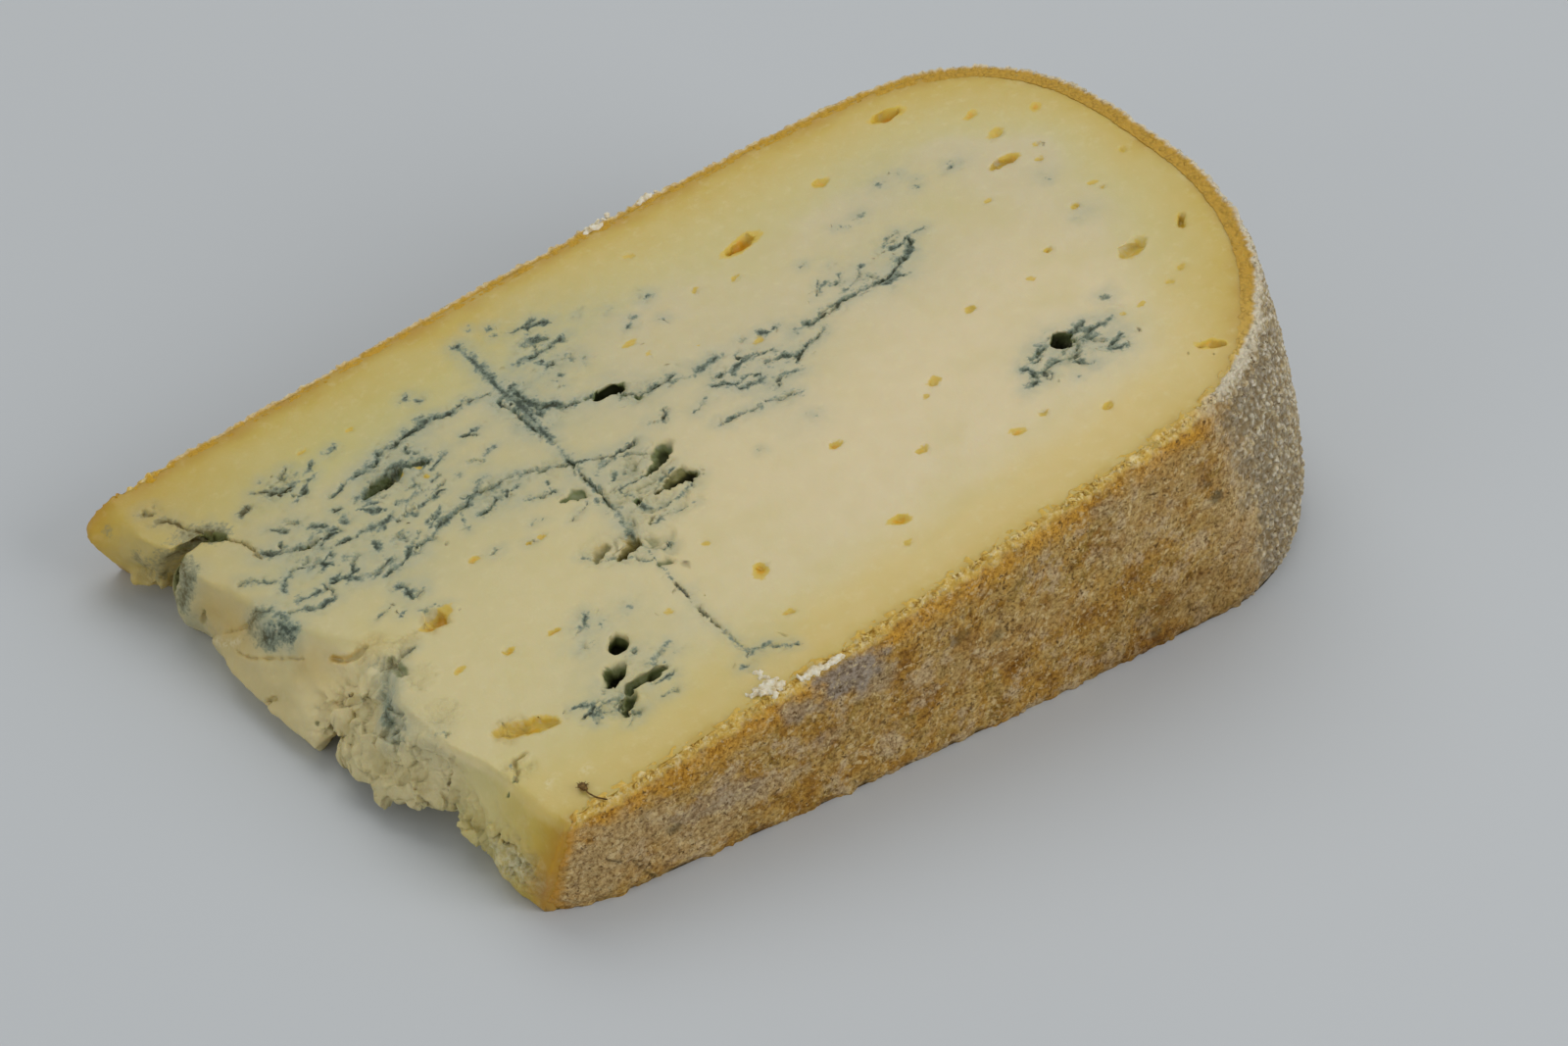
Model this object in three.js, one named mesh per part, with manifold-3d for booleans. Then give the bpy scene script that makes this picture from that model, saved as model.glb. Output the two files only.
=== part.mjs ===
// A wedge of blue cheese, cut from a thick drum-shaped wheel and lying on one of its two radial cuts.
// The thin end, which pointed at the middle of the wheel, has been broken away.
// Millimetres, +Z up. +X runs from the broken end to the heel, where the rind of the wheel's wall is.
// The origin is the middle of the wedge's box, on the face that it lies on.
import * as THREE from 'three';
import { mergeVertices } from 'three/addons/utils/BufferGeometryUtils.js';
import Module from 'manifold-3d';

// ---- Driving dimensions -------------------------------------------------------------------------

const WHEEL_THICKNESS = 90;        // between the wheel's two flat faces, which run along X
const WEDGE_ANGLE = 12.5;          // degrees between the two radial cuts
const WHEEL_AXIS_X = -126.3;       // the line where the two cuts would meet
const HEEL_BRIM_X = 65.6;          // furthest point of the heel at the upper cut
const HEEL_FLOOR_X = 79.3;         // the same at the floor, where the ripe paste has sagged outwards
const HEEL_TUCK = 1.6;             // how far the heel curls back in at its foot
const HEEL_BULGE = 1.5;            // how far the heel stands out of a straight line at mid height

// The heel turns into each flat face along a superellipse: its length along X, and its exponent.
const NEAR_TURN = { length: 32.6, power: 2.0, taper: 0.00039, taperStart: -48 };
const FAR_TURN = { length: 36, power: 3.3, taper: 0.00055, taperStart: -41 };
const FACE_HALF = WHEEL_THICKNESS / 2;
const FACE_BELLY = 0.5;            // how far the flat faces belly out
const FOOT_TUCK = 0.2;             // how far they curl in at the floor
const FOOT_UP = 0.2;               // the foot is this share of the height
const CORNER_BLEND = 9;            // the faces run into the broken corners over this length

// The rind is uneven by about this much, in waves of about these sizes along it and up it.
const RIND_WAVE = 0.35;
const RIND_WAVE_SIZE = 5.5;
const RIND_WAVE_RISE = 30;

// Mesh steps round the wall and up it.
const LEVELS = 10;
const FACE_STEPS = 24;
const TURN_STEPS = 16;
const BREAK_STEPS = 2;

// ---- The broken end -----------------------------------------------------------------------------

// Stations along the break, from the far face to the near one. Each says where the broken face starts
// on the upper cut (brim), where it stands out furthest and how high (lip), and where it meets the floor.
const BREAK = [
  { name: 'far corner', brim: [-74.2, 44.8], lip: [-78.2, 44.0, 8.6], floor: [-74.2, 44.0] },
  { name: 'far knob', brim: [-75.0, 41.0], lip: [-78.9, 41.8, 7.8], floor: [-73.2, 42.0] },
  { name: 'far knob', brim: [-75.1, 37.0], lip: [-76.8, 39.6, 5.2], floor: [-72.2, 40.0] },
  { name: 'far knob', brim: [-74.2, 32.4], lip: [-74.0, 37.4, 3.6], floor: [-71.6, 38.4] },
  { name: 'crevice mouth', brim: [-72.8, 30.2], lip: [-71.2, 36.0, 2.4], floor: [-70.4, 37.2] },
  { name: 'crevice', brim: [-69.0, 29.8], lip: [-69.0, 35.0, 1.5], floor: [-68.4, 36.0] },
  { name: 'crevice end', brim: [-65.0, 25.2], lip: [-66.0, 30.6, 2.0], floor: [-66.2, 31.6] },
  { name: 'crevice', brim: [-69.2, 28.5], lip: [-69.6, 31.2, 2.4], floor: [-69.2, 32.4] },
  { name: 'second knob', brim: [-72.9, 28.2], lip: [-72.6, 30.4, 4.0], floor: [-70.4, 32.0] },
  { name: 'second knob', brim: [-73.2, 25.8], lip: [-73.7, 28.0, 3.6], floor: [-71.4, 30.0] },
  { name: 'second knob', brim: [-71.6, 20.8], lip: [-74.0, 26.0, 3.0], floor: [-71.6, 27.4] },
  { name: 'second knob', brim: [-70.2, 16.0], lip: [-72.0, 24.4, 2.2], floor: [-70.4, 25.6] },
  { name: 'second knob', brim: [-69.9, 12.6], lip: [-71.6, 22.2, 2.4], floor: [-70.2, 23.8] },
  { name: 'ledge', brim: [-69.6, 11.2], lip: [-72.8, 20.2, 3.6], floor: [-70.6, 21.0] },
  { name: 'ledge', brim: [-67.6, 6.5], lip: [-73.5, 14.2, 3.6], floor: [-70.6, 15.5] },
  { name: 'ledge', brim: [-65.0, 2.0], lip: [-73.4, 7.1, 3.4], floor: [-70.4, 9.0] },
  { name: 'ledge', brim: [-62.8, -1.6], lip: [-72.3, 0.2, 3.0], floor: [-69.8, 2.0] },
  { name: 'ledge tip', brim: [-61.4, -5.2], lip: [-71.5, -4.4, 2.5], floor: [-69.4, -2.6] },
  { name: 'notch', brim: [-61.2, -7.0], lip: [-66.1, -1.4, 2.0], floor: [-65.4, 0.0] },
  { name: 'crumbling lump', brim: [-61.8, -9.2], lip: [-68.6, -6.8, 2.8], floor: [-66.4, -5.0] },
  { name: 'crumbling lump', brim: [-64.2, -13.6], lip: [-69.7, -12.2, 3.4], floor: [-65.6, -9.8] },
  { name: 'overhang', brim: [-63.8, -18.6], lip: [-68.8, -18.0, 4.2], floor: [-61.0, -14.0] },
  { name: 'overhang', brim: [-63.2, -24.0], lip: [-64.4, -20.8, 4.6], floor: [-57.5, -19.0] },
  { name: 'overhang', brim: [-61.8, -29.0], lip: [-62.3, -26.4, 4.0], floor: [-58.4, -25.0] },
  { name: 'near knob', brim: [-60.9, -33.4], lip: [-62.9, -30.8, 2.2], floor: [-61.2, -30.0] },
  { name: 'near knob', brim: [-60.5, -37.2], lip: [-62.7, -34.0, 1.5], floor: [-62.2, -34.4] },
  { name: 'near knob', brim: [-60.4, -41.4], lip: [-62.7, -38.8, 2.0], floor: [-62.3, -39.0] },
  { name: 'near corner', brim: [-59.4, -44.9], lip: [-61.6, -42.9, 2.4], floor: [-61.4, -42.6] },
];
const LIP_UP = 0.3;                // the share of the mesh levels that lies below the lip
const BREAK_SWELL = 0.7;           // how far the broken face swells out between lip and brim
const BREAK_ROUGHNESS = 0.35;
const BREAK_ROUGHNESS_SIZE = 2.1;

// ---- Openings in the paste ----------------------------------------------------------------------

// Holes on the upper cut: where, how long, wide and deep, and the turn of the length from +X.
const HOLES = [
  { name: 'heel hole', at: [31.6, -19.0], size: [3.6, 2.9, 3.2], turn: 10 },
  { name: 'round hole', at: [-39.4, -23.9], size: [3.0, 2.7, 3.4], turn: 60 },
  { name: 'slanting hole', at: [-42.4, -28.0], size: [4.8, 2.2, 3.0], turn: 24 },
  { name: 'curved hole', at: [-39.8, -31.3], size: [6.4, 1.7, 2.8], turn: 2 },
  { name: 'curved hole', at: [-43.6, -33.4], size: [4.6, 1.5, 2.4], turn: 48 },
  { name: 'slot', at: [-16.2, 14.9], size: [4.8, 1.7, 2.4], turn: -8 },
  { name: 'open vein', at: [-46.6, 21.2], size: [6.8, 2.0, 2.2], turn: 6 },
  { name: 'torn slit', at: [-20.0, -5.4], size: [5.2, 1.5, 1.8], turn: -6 },
  { name: 'torn pit', at: [-20.6, 0.3], size: [4.0, 2.2, 1.4], turn: 30 },
  { name: 'cleft', at: [-29.6, -10.7], size: [4.6, 1.7, 1.6], turn: 24 },
  { name: 'torn pit', at: [-53.6, -4.6], size: [3.8, 2.6, 1.4], turn: -64 },
  { name: 'torn pit', at: [-65.0, -2.9], size: [4.8, 1.6, 1.3], turn: 22 },
  { name: 'flake scar', at: [-54.6, -28.0], size: [6.6, 2.2, 1.1], turn: -28 },
  { name: 'mouldy pit', at: [-56.9, 30.0], size: [3.8, 1.9, 1.3], turn: -50 },
  { name: 'yellow eye', at: [12.6, 26.5], size: [5.2, 2.0, 1.3], turn: 6 },
  { name: 'yellow eye', at: [42.2, 34.4], size: [4.6, 1.7, 1.1], turn: -6 },
  { name: 'yellow eye', at: [44.8, -33.6], size: [3.8, 1.8, 1.4], turn: -48 },
  { name: 'pale eye', at: [49.0, -11.4], size: [5.2, 2.2, 1.0], turn: 18 },
  { name: 'green eye', at: [57.0, -11.6], size: [2.8, 1.2, 1.2], turn: 66 },
  { name: 'pale eye', at: [47.8, 14.8], size: [4.4, 1.6, 0.9], turn: -4 },
];
const HOLE_RAGGEDNESS = 0.14;      // as a share of the hole's own size
const HOLE_RAG_SIZE = 0.45;
const HOLE_DETAIL = 2;
const HOLE_SINK = 0.1;             // how far a hole's middle lies under the cut

// ---- Small helpers ------------------------------------------------------------------------------

const radians = THREE.MathUtils.degToRad;
const lerp = THREE.MathUtils.lerp;
const slope = Math.tan(radians(WEDGE_ANGLE));
const cutHeight = (x) => (x - WHEEL_AXIS_X) * slope;

// A smooth uneven field between about -1 and 1, from a few crossed waves.
const uneven = (x, y, z, size) => {
  const [a, b, c] = [x / size, y / size, z / size];
  return (Math.sin(a * 2.1 + b * 1.3 + 0.4) + Math.sin(b * 2.7 - c * 1.9 + 1.7)
    + Math.sin(c * 2.3 + a * 1.1 + 4.1) + Math.sin((a + b + c) * 3.9 + 2.2)) / 4;
};

// ---- The wall of the wedge ----------------------------------------------------------------------

// `up` is 0 at the floor and 1 at the upper cut.
const heelReach = (up) => {
  const foot = Math.max(0, 1 - up / FOOT_UP);
  return lerp(HEEL_FLOOR_X, HEEL_BRIM_X, up) + HEEL_BULGE * 4 * up * (1 - up) - HEEL_TUCK * foot ** 2;
};

const faceHalf = (turn, x, up) => {
  const start = turn.taperStart + (HEEL_FLOOR_X - HEEL_BRIM_X) * (1 - up);
  const foot = Math.max(0, 1 - up / FOOT_UP);
  return FACE_HALF + FACE_BELLY - turn.taper * Math.max(0, x - start) ** 2 - FOOT_TUCK * foot ** 2;
};

// One half of the heel at this height: side is -1 for the near half and 1 for the far one.
const heelPoint = (turn, side, angle, up) => {
  const centre = heelReach(up) - turn.length;
  const x = centre + turn.length * Math.cos(angle) ** (2 / turn.power);
  const share = Math.sin(angle) ** (2 / turn.power);
  return [x, side * share * faceHalf(turn, x, up)];
};

// One station's point at this height.
const breakStation = ({ brim, lip, floor }, up) => {
  if (up < LIP_UP) {
    const share = up / LIP_UP;
    return [lerp(floor[0], lip[0], share), lerp(floor[1], lip[1], share), lip[2] * share];
  }
  const share = (up - LIP_UP) / (1 - LIP_UP);
  const swell = BREAK_SWELL * 4 * share * (1 - share);
  return [
    lerp(lip[0], brim[0], share) - swell,
    lerp(lip[1], brim[1], share),
    lerp(lip[2], cutHeight(brim[0]), share),
  ];
};

// The break's edge at this height, from the far corner to the near one.
const breakPoints = (up) => {
  const stations = BREAK.map((station) => breakStation(station, up));
  const points = stations.slice(0, -1).flatMap((from, i) => {
    const to = stations[i + 1];
    return Array.from({ length: BREAK_STEPS }, (_, step) => (
      from.map((value, axis) => lerp(value, to[axis], step / BREAK_STEPS))
    ));
  });
  points.push(stations[stations.length - 1]);
  return points.map(([x, y, z]) => {
    const rough = BREAK_ROUGHNESS * uneven(x, y, z, BREAK_ROUGHNESS_SIZE);
    return [x + rough, y, up === 1 ? cutHeight(x + rough) : z];
  });
};

const halfPi = Math.PI / 2;
const rindPoints = (up, nearCorner, farCorner) => {
  const points = [];
  const nearStart = heelPoint(NEAR_TURN, -1, halfPi, up)[0];
  const farStart = heelPoint(FAR_TURN, 1, halfPi, up)[0];
  for (let step = 1; step < FACE_STEPS; step += 1) {
    const x = lerp(nearCorner[0], nearStart, step / FACE_STEPS);
    const toCorner = Math.max(0, 1 - (x - nearCorner[0]) / CORNER_BLEND) ** 2;
    points.push([x, lerp(-faceHalf(NEAR_TURN, x, up), nearCorner[1], toCorner)]);
  }
  for (let step = TURN_STEPS; step > 0; step -= 1) {
    points.push(heelPoint(NEAR_TURN, -1, (step / TURN_STEPS) * halfPi, up));
  }
  for (let step = 0; step <= TURN_STEPS; step += 1) {
    points.push(heelPoint(FAR_TURN, 1, (step / TURN_STEPS) * halfPi, up));
  }
  for (let step = 1; step < FACE_STEPS; step += 1) {
    const x = lerp(farStart, farCorner[0], step / FACE_STEPS);
    const toCorner = Math.max(0, 1 - (x - farCorner[0]) / CORNER_BLEND) ** 2;
    points.push([x, lerp(faceHalf(FAR_TURN, x, up), farCorner[1], toCorner)]);
  }
  // The rind is not smooth: each point moves a little in or out along the outline's normal.
  const outline = [nearCorner, ...points, farCorner];
  return points.map(([x, y], i) => {
    const [before, after] = [outline[i], outline[i + 2]];
    const [dx, dy] = [after[0] - before[0], after[1] - before[1]];
    const length = Math.hypot(dx, dy);
    const wave = RIND_WAVE * uneven(x, y, up * RIND_WAVE_RISE, RIND_WAVE_SIZE);
    const [px, py] = [x + (dy / length) * wave, y - (dx / length) * wave];
    return [px, py, up * cutHeight(px)];
  });
};

// One closed ring of the wedge at this height, anticlockwise seen from above.
const ring = (up) => {
  const broken = breakPoints(up);
  const rind = rindPoints(up, broken[broken.length - 1], broken[0]);
  return [...broken, ...rind];
};

// The whole body: rings from the floor to the upper cut, closed by a cap at each end.
const body = () => {
  const rings = Array.from({ length: LEVELS + 1 }, (_, level) => ring(level / LEVELS));
  const count = rings[0].length;
  const positions = rings.flat(2);
  const triangles = [];
  for (let level = 0; level < LEVELS; level += 1) {
    for (let i = 0; i < count; i += 1) {
      const [a, b] = [level * count + i, level * count + ((i + 1) % count)];
      triangles.push(a, b, b + count, a, b + count, a + count);
    }
  }
  const cap = (points) => THREE.ShapeUtils.triangulateShape(
    points.map(([x, y]) => new THREE.Vector2(x, y)), [],
  );
  cap(rings[0]).forEach(([a, b, c]) => triangles.push(a, c, b));
  const top = LEVELS * count;
  cap(rings[LEVELS]).forEach(([a, b, c]) => triangles.push(top + a, top + b, top + c));
  const geometry = new THREE.BufferGeometry();
  geometry.setAttribute('position', new THREE.Float32BufferAttribute(positions, 3));
  geometry.setIndex(triangles);
  return geometry;
};

// ---- The holes ----------------------------------------------------------------------------------

// A ragged hollow, half above the cut so that it opens cleanly.
const hollow = ({ at: [x, y], size: [length, width, depth], turn }) => {
  const ball = new THREE.IcosahedronGeometry(1, HOLE_DETAIL);
  const points = ball.getAttribute('position');
  const point = new THREE.Vector3();
  for (let i = 0; i < points.count; i += 1) {
    point.fromBufferAttribute(points, i);
    const ragged = 1 + HOLE_RAGGEDNESS * uneven(point.x + x, point.y + y, point.z, HOLE_RAG_SIZE);
    point.multiplyScalar(ragged);
    points.setXYZ(i, point.x, point.y, point.z);
  }
  ball.scale(length / 2, width / 2, depth);
  ball.rotateZ(radians(turn));
  ball.rotateY(-radians(WEDGE_ANGLE));
  ball.translate(x, y, cutHeight(x) - HOLE_SINK);
  return ball;
};

// ---- Solid work ---------------------------------------------------------------------------------

const wasm = await Module();
wasm.setup();

const toSolid = (geometry) => {
  geometry.deleteAttribute('normal');
  geometry.deleteAttribute('uv');
  const merged = mergeVertices(geometry, 1e-5);
  return new wasm.Manifold(new wasm.Mesh({
    numProp: 3,
    vertProperties: new Float32Array(merged.getAttribute('position').array),
    triVerts: new Uint32Array(merged.getIndex().array),
  }));
};

const toGeometry = (solid) => {
  const { vertProperties, triVerts } = solid.getMesh();
  const geometry = new THREE.BufferGeometry();
  geometry.setAttribute('position', new THREE.BufferAttribute(new Float32Array(vertProperties), 3));
  geometry.setIndex(new THREE.BufferAttribute(new Uint32Array(triVerts), 1));
  return geometry;
};

const wedgeSolid = HOLES.reduce((solid, hole) => solid.subtract(toSolid(hollow(hole))), toSolid(body()));
const wedgeGeometry = toGeometry(wedgeSolid);

// The frame's origin is the middle of the box, at floor height.
wedgeGeometry.computeBoundingBox();
const middle = wedgeGeometry.boundingBox.getCenter(new THREE.Vector3());
wedgeGeometry.translate(-middle.x, -middle.y, -wedgeGeometry.boundingBox.min.z);
wedgeGeometry.computeVertexNormals();

// ---- The part -----------------------------------------------------------------------------------

const paste = new THREE.MeshStandardMaterial({ color: 0xd9cb93, roughness: 0.5, metalness: 0 });

const wedge = new THREE.Mesh(wedgeGeometry, paste);
wedge.name = 'cheese_wedge';

const part = new THREE.Group();
part.add(wedge);

export default part;
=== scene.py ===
# %% [markdown]
# # A broken wedge of blue cheese
# The wedge lies on one of its two radial cuts. The other cut is the big sloping face on top. A crumbly
# rind runs round three sides, and the thin end has been broken away. There are three finishes: the paste
# with its mould, the rind, and a dried stalk that sticks to the rim.
# Blender works in metres. Sizes in this lesson are given in millimetres, and MM turns them into metres.

# %% The frame
import math
import random
import bpy
import numpy as np
from mathutils import Matrix, Vector, noise
from mathutils.bvhtree import BVHTree


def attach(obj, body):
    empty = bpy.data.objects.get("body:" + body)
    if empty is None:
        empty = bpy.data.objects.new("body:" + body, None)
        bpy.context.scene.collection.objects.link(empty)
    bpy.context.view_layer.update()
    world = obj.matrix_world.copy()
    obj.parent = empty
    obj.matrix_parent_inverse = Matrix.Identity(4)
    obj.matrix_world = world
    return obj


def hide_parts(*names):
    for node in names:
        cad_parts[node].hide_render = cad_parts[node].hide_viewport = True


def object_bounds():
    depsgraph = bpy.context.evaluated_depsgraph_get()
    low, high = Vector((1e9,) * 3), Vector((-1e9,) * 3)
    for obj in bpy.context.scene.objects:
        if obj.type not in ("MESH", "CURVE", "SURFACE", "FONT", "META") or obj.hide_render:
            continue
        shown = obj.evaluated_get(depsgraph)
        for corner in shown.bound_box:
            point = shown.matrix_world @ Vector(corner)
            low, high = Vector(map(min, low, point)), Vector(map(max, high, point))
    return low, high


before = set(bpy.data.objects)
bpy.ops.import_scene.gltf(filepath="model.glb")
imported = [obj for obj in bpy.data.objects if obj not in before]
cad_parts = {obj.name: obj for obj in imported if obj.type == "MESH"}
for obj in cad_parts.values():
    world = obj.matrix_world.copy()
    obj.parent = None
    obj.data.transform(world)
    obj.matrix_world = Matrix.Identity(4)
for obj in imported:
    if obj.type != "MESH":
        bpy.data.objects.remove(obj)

MM = 0.001
FAR_AWAY = 1e3
NOISE_SEED = 12
noise.seed_set(NOISE_SEED)         # without a seed, noise_vector starts from the clock
cad_low, cad_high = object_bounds()
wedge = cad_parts["cheese_wedge"]
print("the wedge's box, mm:", [round(v / MM, 1) for v in (*cad_low, *cad_high)])

# %% [markdown]
# ## The wedge's own lines
# Everything is placed from a few lines of the wheel: the axis where its two cuts meet, the angle between
# them, its thickness and its heel. `cut_height` gives the height of the sloping cut over any place.

# %% The wheel's lines
WEDGE_ANGLE = math.radians(12.5)
MIDDLE = (0.487, 0.032)            # from the wheel's own middle line to the origin of the frame
AXIS_X = -126.3 + MIDDLE[0]
HEEL_BRIM_X = 65.6 + MIDDLE[0]
HEEL_FLOOR_X = 79.3 + MIDDLE[0]
HALF_THICK = 45.5
BREAK_X = -52                      # everything torn lies beyond this
KNOB_X = -56                       # beyond this lie the knobs and the torn edges
WHOLE_X = -58                      # on this side of it the cut is whole
CUT_NORMAL = np.array([-math.sin(WEDGE_ANGLE), 0.0, math.cos(WEDGE_ANGLE)])


def cut_height(x):
    return (x - AXIS_X) * math.tan(WEDGE_ANGLE)


def below_cut(points):
    """How far each point lies under the sloping cut, square to it."""
    return (cut_height(points[:, 0]) - points[:, 2]) * math.cos(WEDGE_ANGLE)


def plan_distance(points, x, y):
    """How far each point lies in the plan from a place given from the wheel's middle line."""
    return np.hypot(*(points[:, :2] - (x, y) - MIDDLE).T)


print("the cut's height at the heel, mm:", round(cut_height(HEEL_BRIM_X), 1))

# %% [markdown]
# ## Small tools
# An operator works on whatever is selected, so each step first clears the selection and then picks its
# own vertices by their place. `points_of` and `put_points` read and write a mesh in millimetres.


# %% Selection and points
def start_clean():
    if bpy.context.object and bpy.context.object.mode != "OBJECT":
        bpy.ops.object.mode_set(mode="OBJECT")
    bpy.ops.object.select_all(action="DESELECT")


def hold(piece):
    """Makes this piece the only one that operators work on."""
    start_clean()
    piece.select_set(True)
    bpy.context.view_layer.objects.active = piece


def points_of(piece):
    flat = np.empty(len(piece.data.vertices) * 3, np.float32)
    piece.data.vertices.foreach_get("co", flat)
    return flat.reshape(-1, 3).astype(float) / MM


def put_points(piece, points):
    piece.data.vertices.foreach_set("co", (points * MM).astype(np.float32).ravel())
    piece.data.update()


def normals_of(piece):
    flat = np.empty(len(piece.data.vertices) * 3, np.float32)
    piece.data.vertex_normals.foreach_get("vector", flat)
    return flat.reshape(-1, 3).astype(float)


def edit_where(piece, chosen, mode="VERT"):
    """Opens edit mode with only these vertices selected, and their edges and faces."""
    hold(piece)
    bpy.ops.object.mode_set(mode="EDIT")
    bpy.ops.mesh.select_mode(type="VERT")
    bpy.ops.mesh.select_all(action="DESELECT")
    bpy.ops.object.mode_set(mode="OBJECT")
    piece.data.vertices.foreach_set("select", chosen)
    bpy.ops.object.mode_set(mode="EDIT")
    bpy.ops.mesh.select_mode(type=mode)


def edit_all(piece):
    """Opens edit mode with everything selected."""
    hold(piece)
    bpy.ops.object.mode_set(mode="EDIT")
    bpy.ops.mesh.select_all(action="SELECT")


def edit_done():
    bpy.ops.object.mode_set(mode="OBJECT")


def join(pieces, into):
    """Joins these pieces into one of them."""
    start_clean()
    for piece in pieces:
        piece.select_set(True)
    bpy.context.view_layer.objects.active = into
    bpy.ops.object.join()


def voxel_remesh(piece, voxel):
    hold(piece)
    remesh = piece.modifiers.new("even mesh", "REMESH")
    remesh.mode = "VOXEL"
    remesh.voxel_size = voxel * MM
    bpy.ops.object.modifier_apply(modifier=remesh.name)


def triangles_in(piece):
    return sum(len(face.vertices) - 2 for face in piece.data.polygons)


def uneven(points, size, octaves=3, seed=0):
    """A smooth random field between about -1 and 1, with features of this size."""
    shift = Vector((seed * 7.3, seed * 3.1, seed * 5.7))
    return np.array([noise.fractal(Vector(p) / size + shift, 1.0, 2.0, octaves) for p in points])


def drift(points, size):
    """A smooth random vector at each point, with features of this size."""
    return np.array([noise.noise_vector(Vector(p) / size) for p in points])


def cell_gap(places):
    """How far each place lies from the border of its own cell, when space is broken into cells."""
    nearest = np.array([noise.voronoi(Vector(p))[0][:2] for p in places])
    return nearest[:, 1] - nearest[:, 0]


def grown(low, high, value):
    """0 below low, 1 above high, and a smooth step between."""
    share = np.clip((value - low) / (high - low), 0, 1)
    return share * share * (3 - 2 * share)


def note(piece, name, values):
    """Writes one number for each vertex, which a material can read as an attribute."""
    layer = piece.data.attributes.get(name) or piece.data.attributes.new(name, "FLOAT", "POINT")
    layer.data.foreach_set("value", np.asarray(values, np.float32))


# %% [markdown]
# ## The camera
# It looks down on the near face from the left, with a long lens so that the wedge keeps its shape.

# %% The camera
LENS = 90.0
SENSOR = 36.0
CAMERA_AZIMUTH = -35.65
CAMERA_ELEVATION = 37.79
CAMERA_ROLL = math.radians(2.0)
CAMERA_DISTANCE = 536.4
NEAREST_SEEN = 10
AIM = Vector((8.76, 8.27, -3.12))

turned, raised = math.radians(CAMERA_AZIMUTH), math.radians(CAMERA_ELEVATION)
outwards = math.cos(raised)
back = Vector((math.sin(turned) * outwards, -math.cos(turned) * outwards, math.sin(raised)))
bpy.ops.object.camera_add()
camera = bpy.context.object
camera.name = "camera"
camera.data.lens = LENS
camera.data.sensor_width = SENSOR
camera.location = (AIM + back * CAMERA_DISTANCE) * MM
tracked = (-back).to_track_quat("-Z", "Y").to_matrix().to_4x4()
camera.rotation_euler = (tracked @ Matrix.Rotation(CAMERA_ROLL, 4, "Z")).to_euler()
camera.data.clip_start = NEAREST_SEEN * MM
bpy.context.scene.camera = camera
print("camera at, mm:", [round(v / MM, 1) for v in camera.location])

# %% [markdown]
# ## The wall that the rind follows
# The rind runs from the near broken corner along the near face, round the heel and back along the far
# face. `wall` gives its outside at any share of the way round and at any share of the height, so the
# rind's skin, and how far any crumb of paste lies from it, come from one formula.

# %% The wall's formula
HEEL_BULGE = 1.5
HEEL_TUCK = 1.6
FOOT_UP = 0.2
FOOT_TUCK = 0.2
CORNER_BLEND = 9.0
NEAR = {"side": -1, "length": 32.6, "power": 2.0, "taper": 0.00039, "taper_start": -48.0,
        "brim": (-59.4, 44.9), "lip": (-61.6, 42.9), "floor": (-61.4, 42.6), "lip_height": 2.4}
FAR = {"side": 1, "length": 36.0, "power": 3.3, "taper": 0.00055, "taper_start": -41.0,
       "brim": (-74.2, 44.8), "lip": (-78.2, 44.0), "floor": (-74.2, 44.0), "lip_height": 8.6}
WALL_SHARES = (0.29, 0.5, 0.68)    # where the near face, the near turn and the far turn end


def heel_reach(up):
    foot = np.maximum(0, 1 - up / FOOT_UP)
    straight = HEEL_FLOOR_X + (HEEL_BRIM_X - HEEL_FLOOR_X) * up
    return straight + HEEL_BULGE * 4 * up * (1 - up) - HEEL_TUCK * foot ** 2


def face_half(turn, x, up):
    start = turn["taper_start"] + (HEEL_FLOOR_X - HEEL_BRIM_X) * (1 - up)
    foot = np.maximum(0, 1 - up / FOOT_UP)
    tapered = turn["taper"] * np.maximum(0, x - MIDDLE[0] - start) ** 2
    return HALF_THICK - tapered - FOOT_TUCK * foot ** 2


def corner_at(turn, up):
    """Where the rind ends at the break: over the floor, the lip of the break and the cut's edge."""
    brim, lip, floor = (np.array(turn[key]) for key in ("brim", "lip", "floor"))
    lip_up = turn["lip_height"] / cut_height(turn["lip"][0] + MIDDLE[0])
    low = floor + (lip - floor) * np.clip(up / lip_up, 0, 1)[..., None]
    high = (brim - lip) * np.clip((up - lip_up) / (1 - lip_up), 0, 1)[..., None]
    x, half = np.moveaxis(low + high, -1, 0)
    return x + MIDDLE[0], half


def heel_turn(turn, angle, up):
    x = heel_reach(up) - turn["length"] * (1 - np.cos(angle) ** (2 / turn["power"]))
    return x, np.sin(angle) ** (2 / turn["power"]) * face_half(turn, x, up)


def face_line(turn, share, up):
    """share is 0 at the broken corner and 1 where the heel's turn begins."""
    corner_x, corner_half = corner_at(turn, up)
    x = corner_x + (heel_reach(up) - turn["length"] - corner_x) * share
    blend = np.maximum(0, 1 - (x - corner_x) / CORNER_BLEND) ** 2
    return x, face_half(turn, x, up) * (1 - blend) + corner_half * blend


def eased_angle(share):
    """From 0 to a right angle, slowly at both ends, where the outline turns fastest."""
    return math.pi / 4 * (1 - np.cos(math.pi * np.clip(share, 0, 1)))


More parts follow.
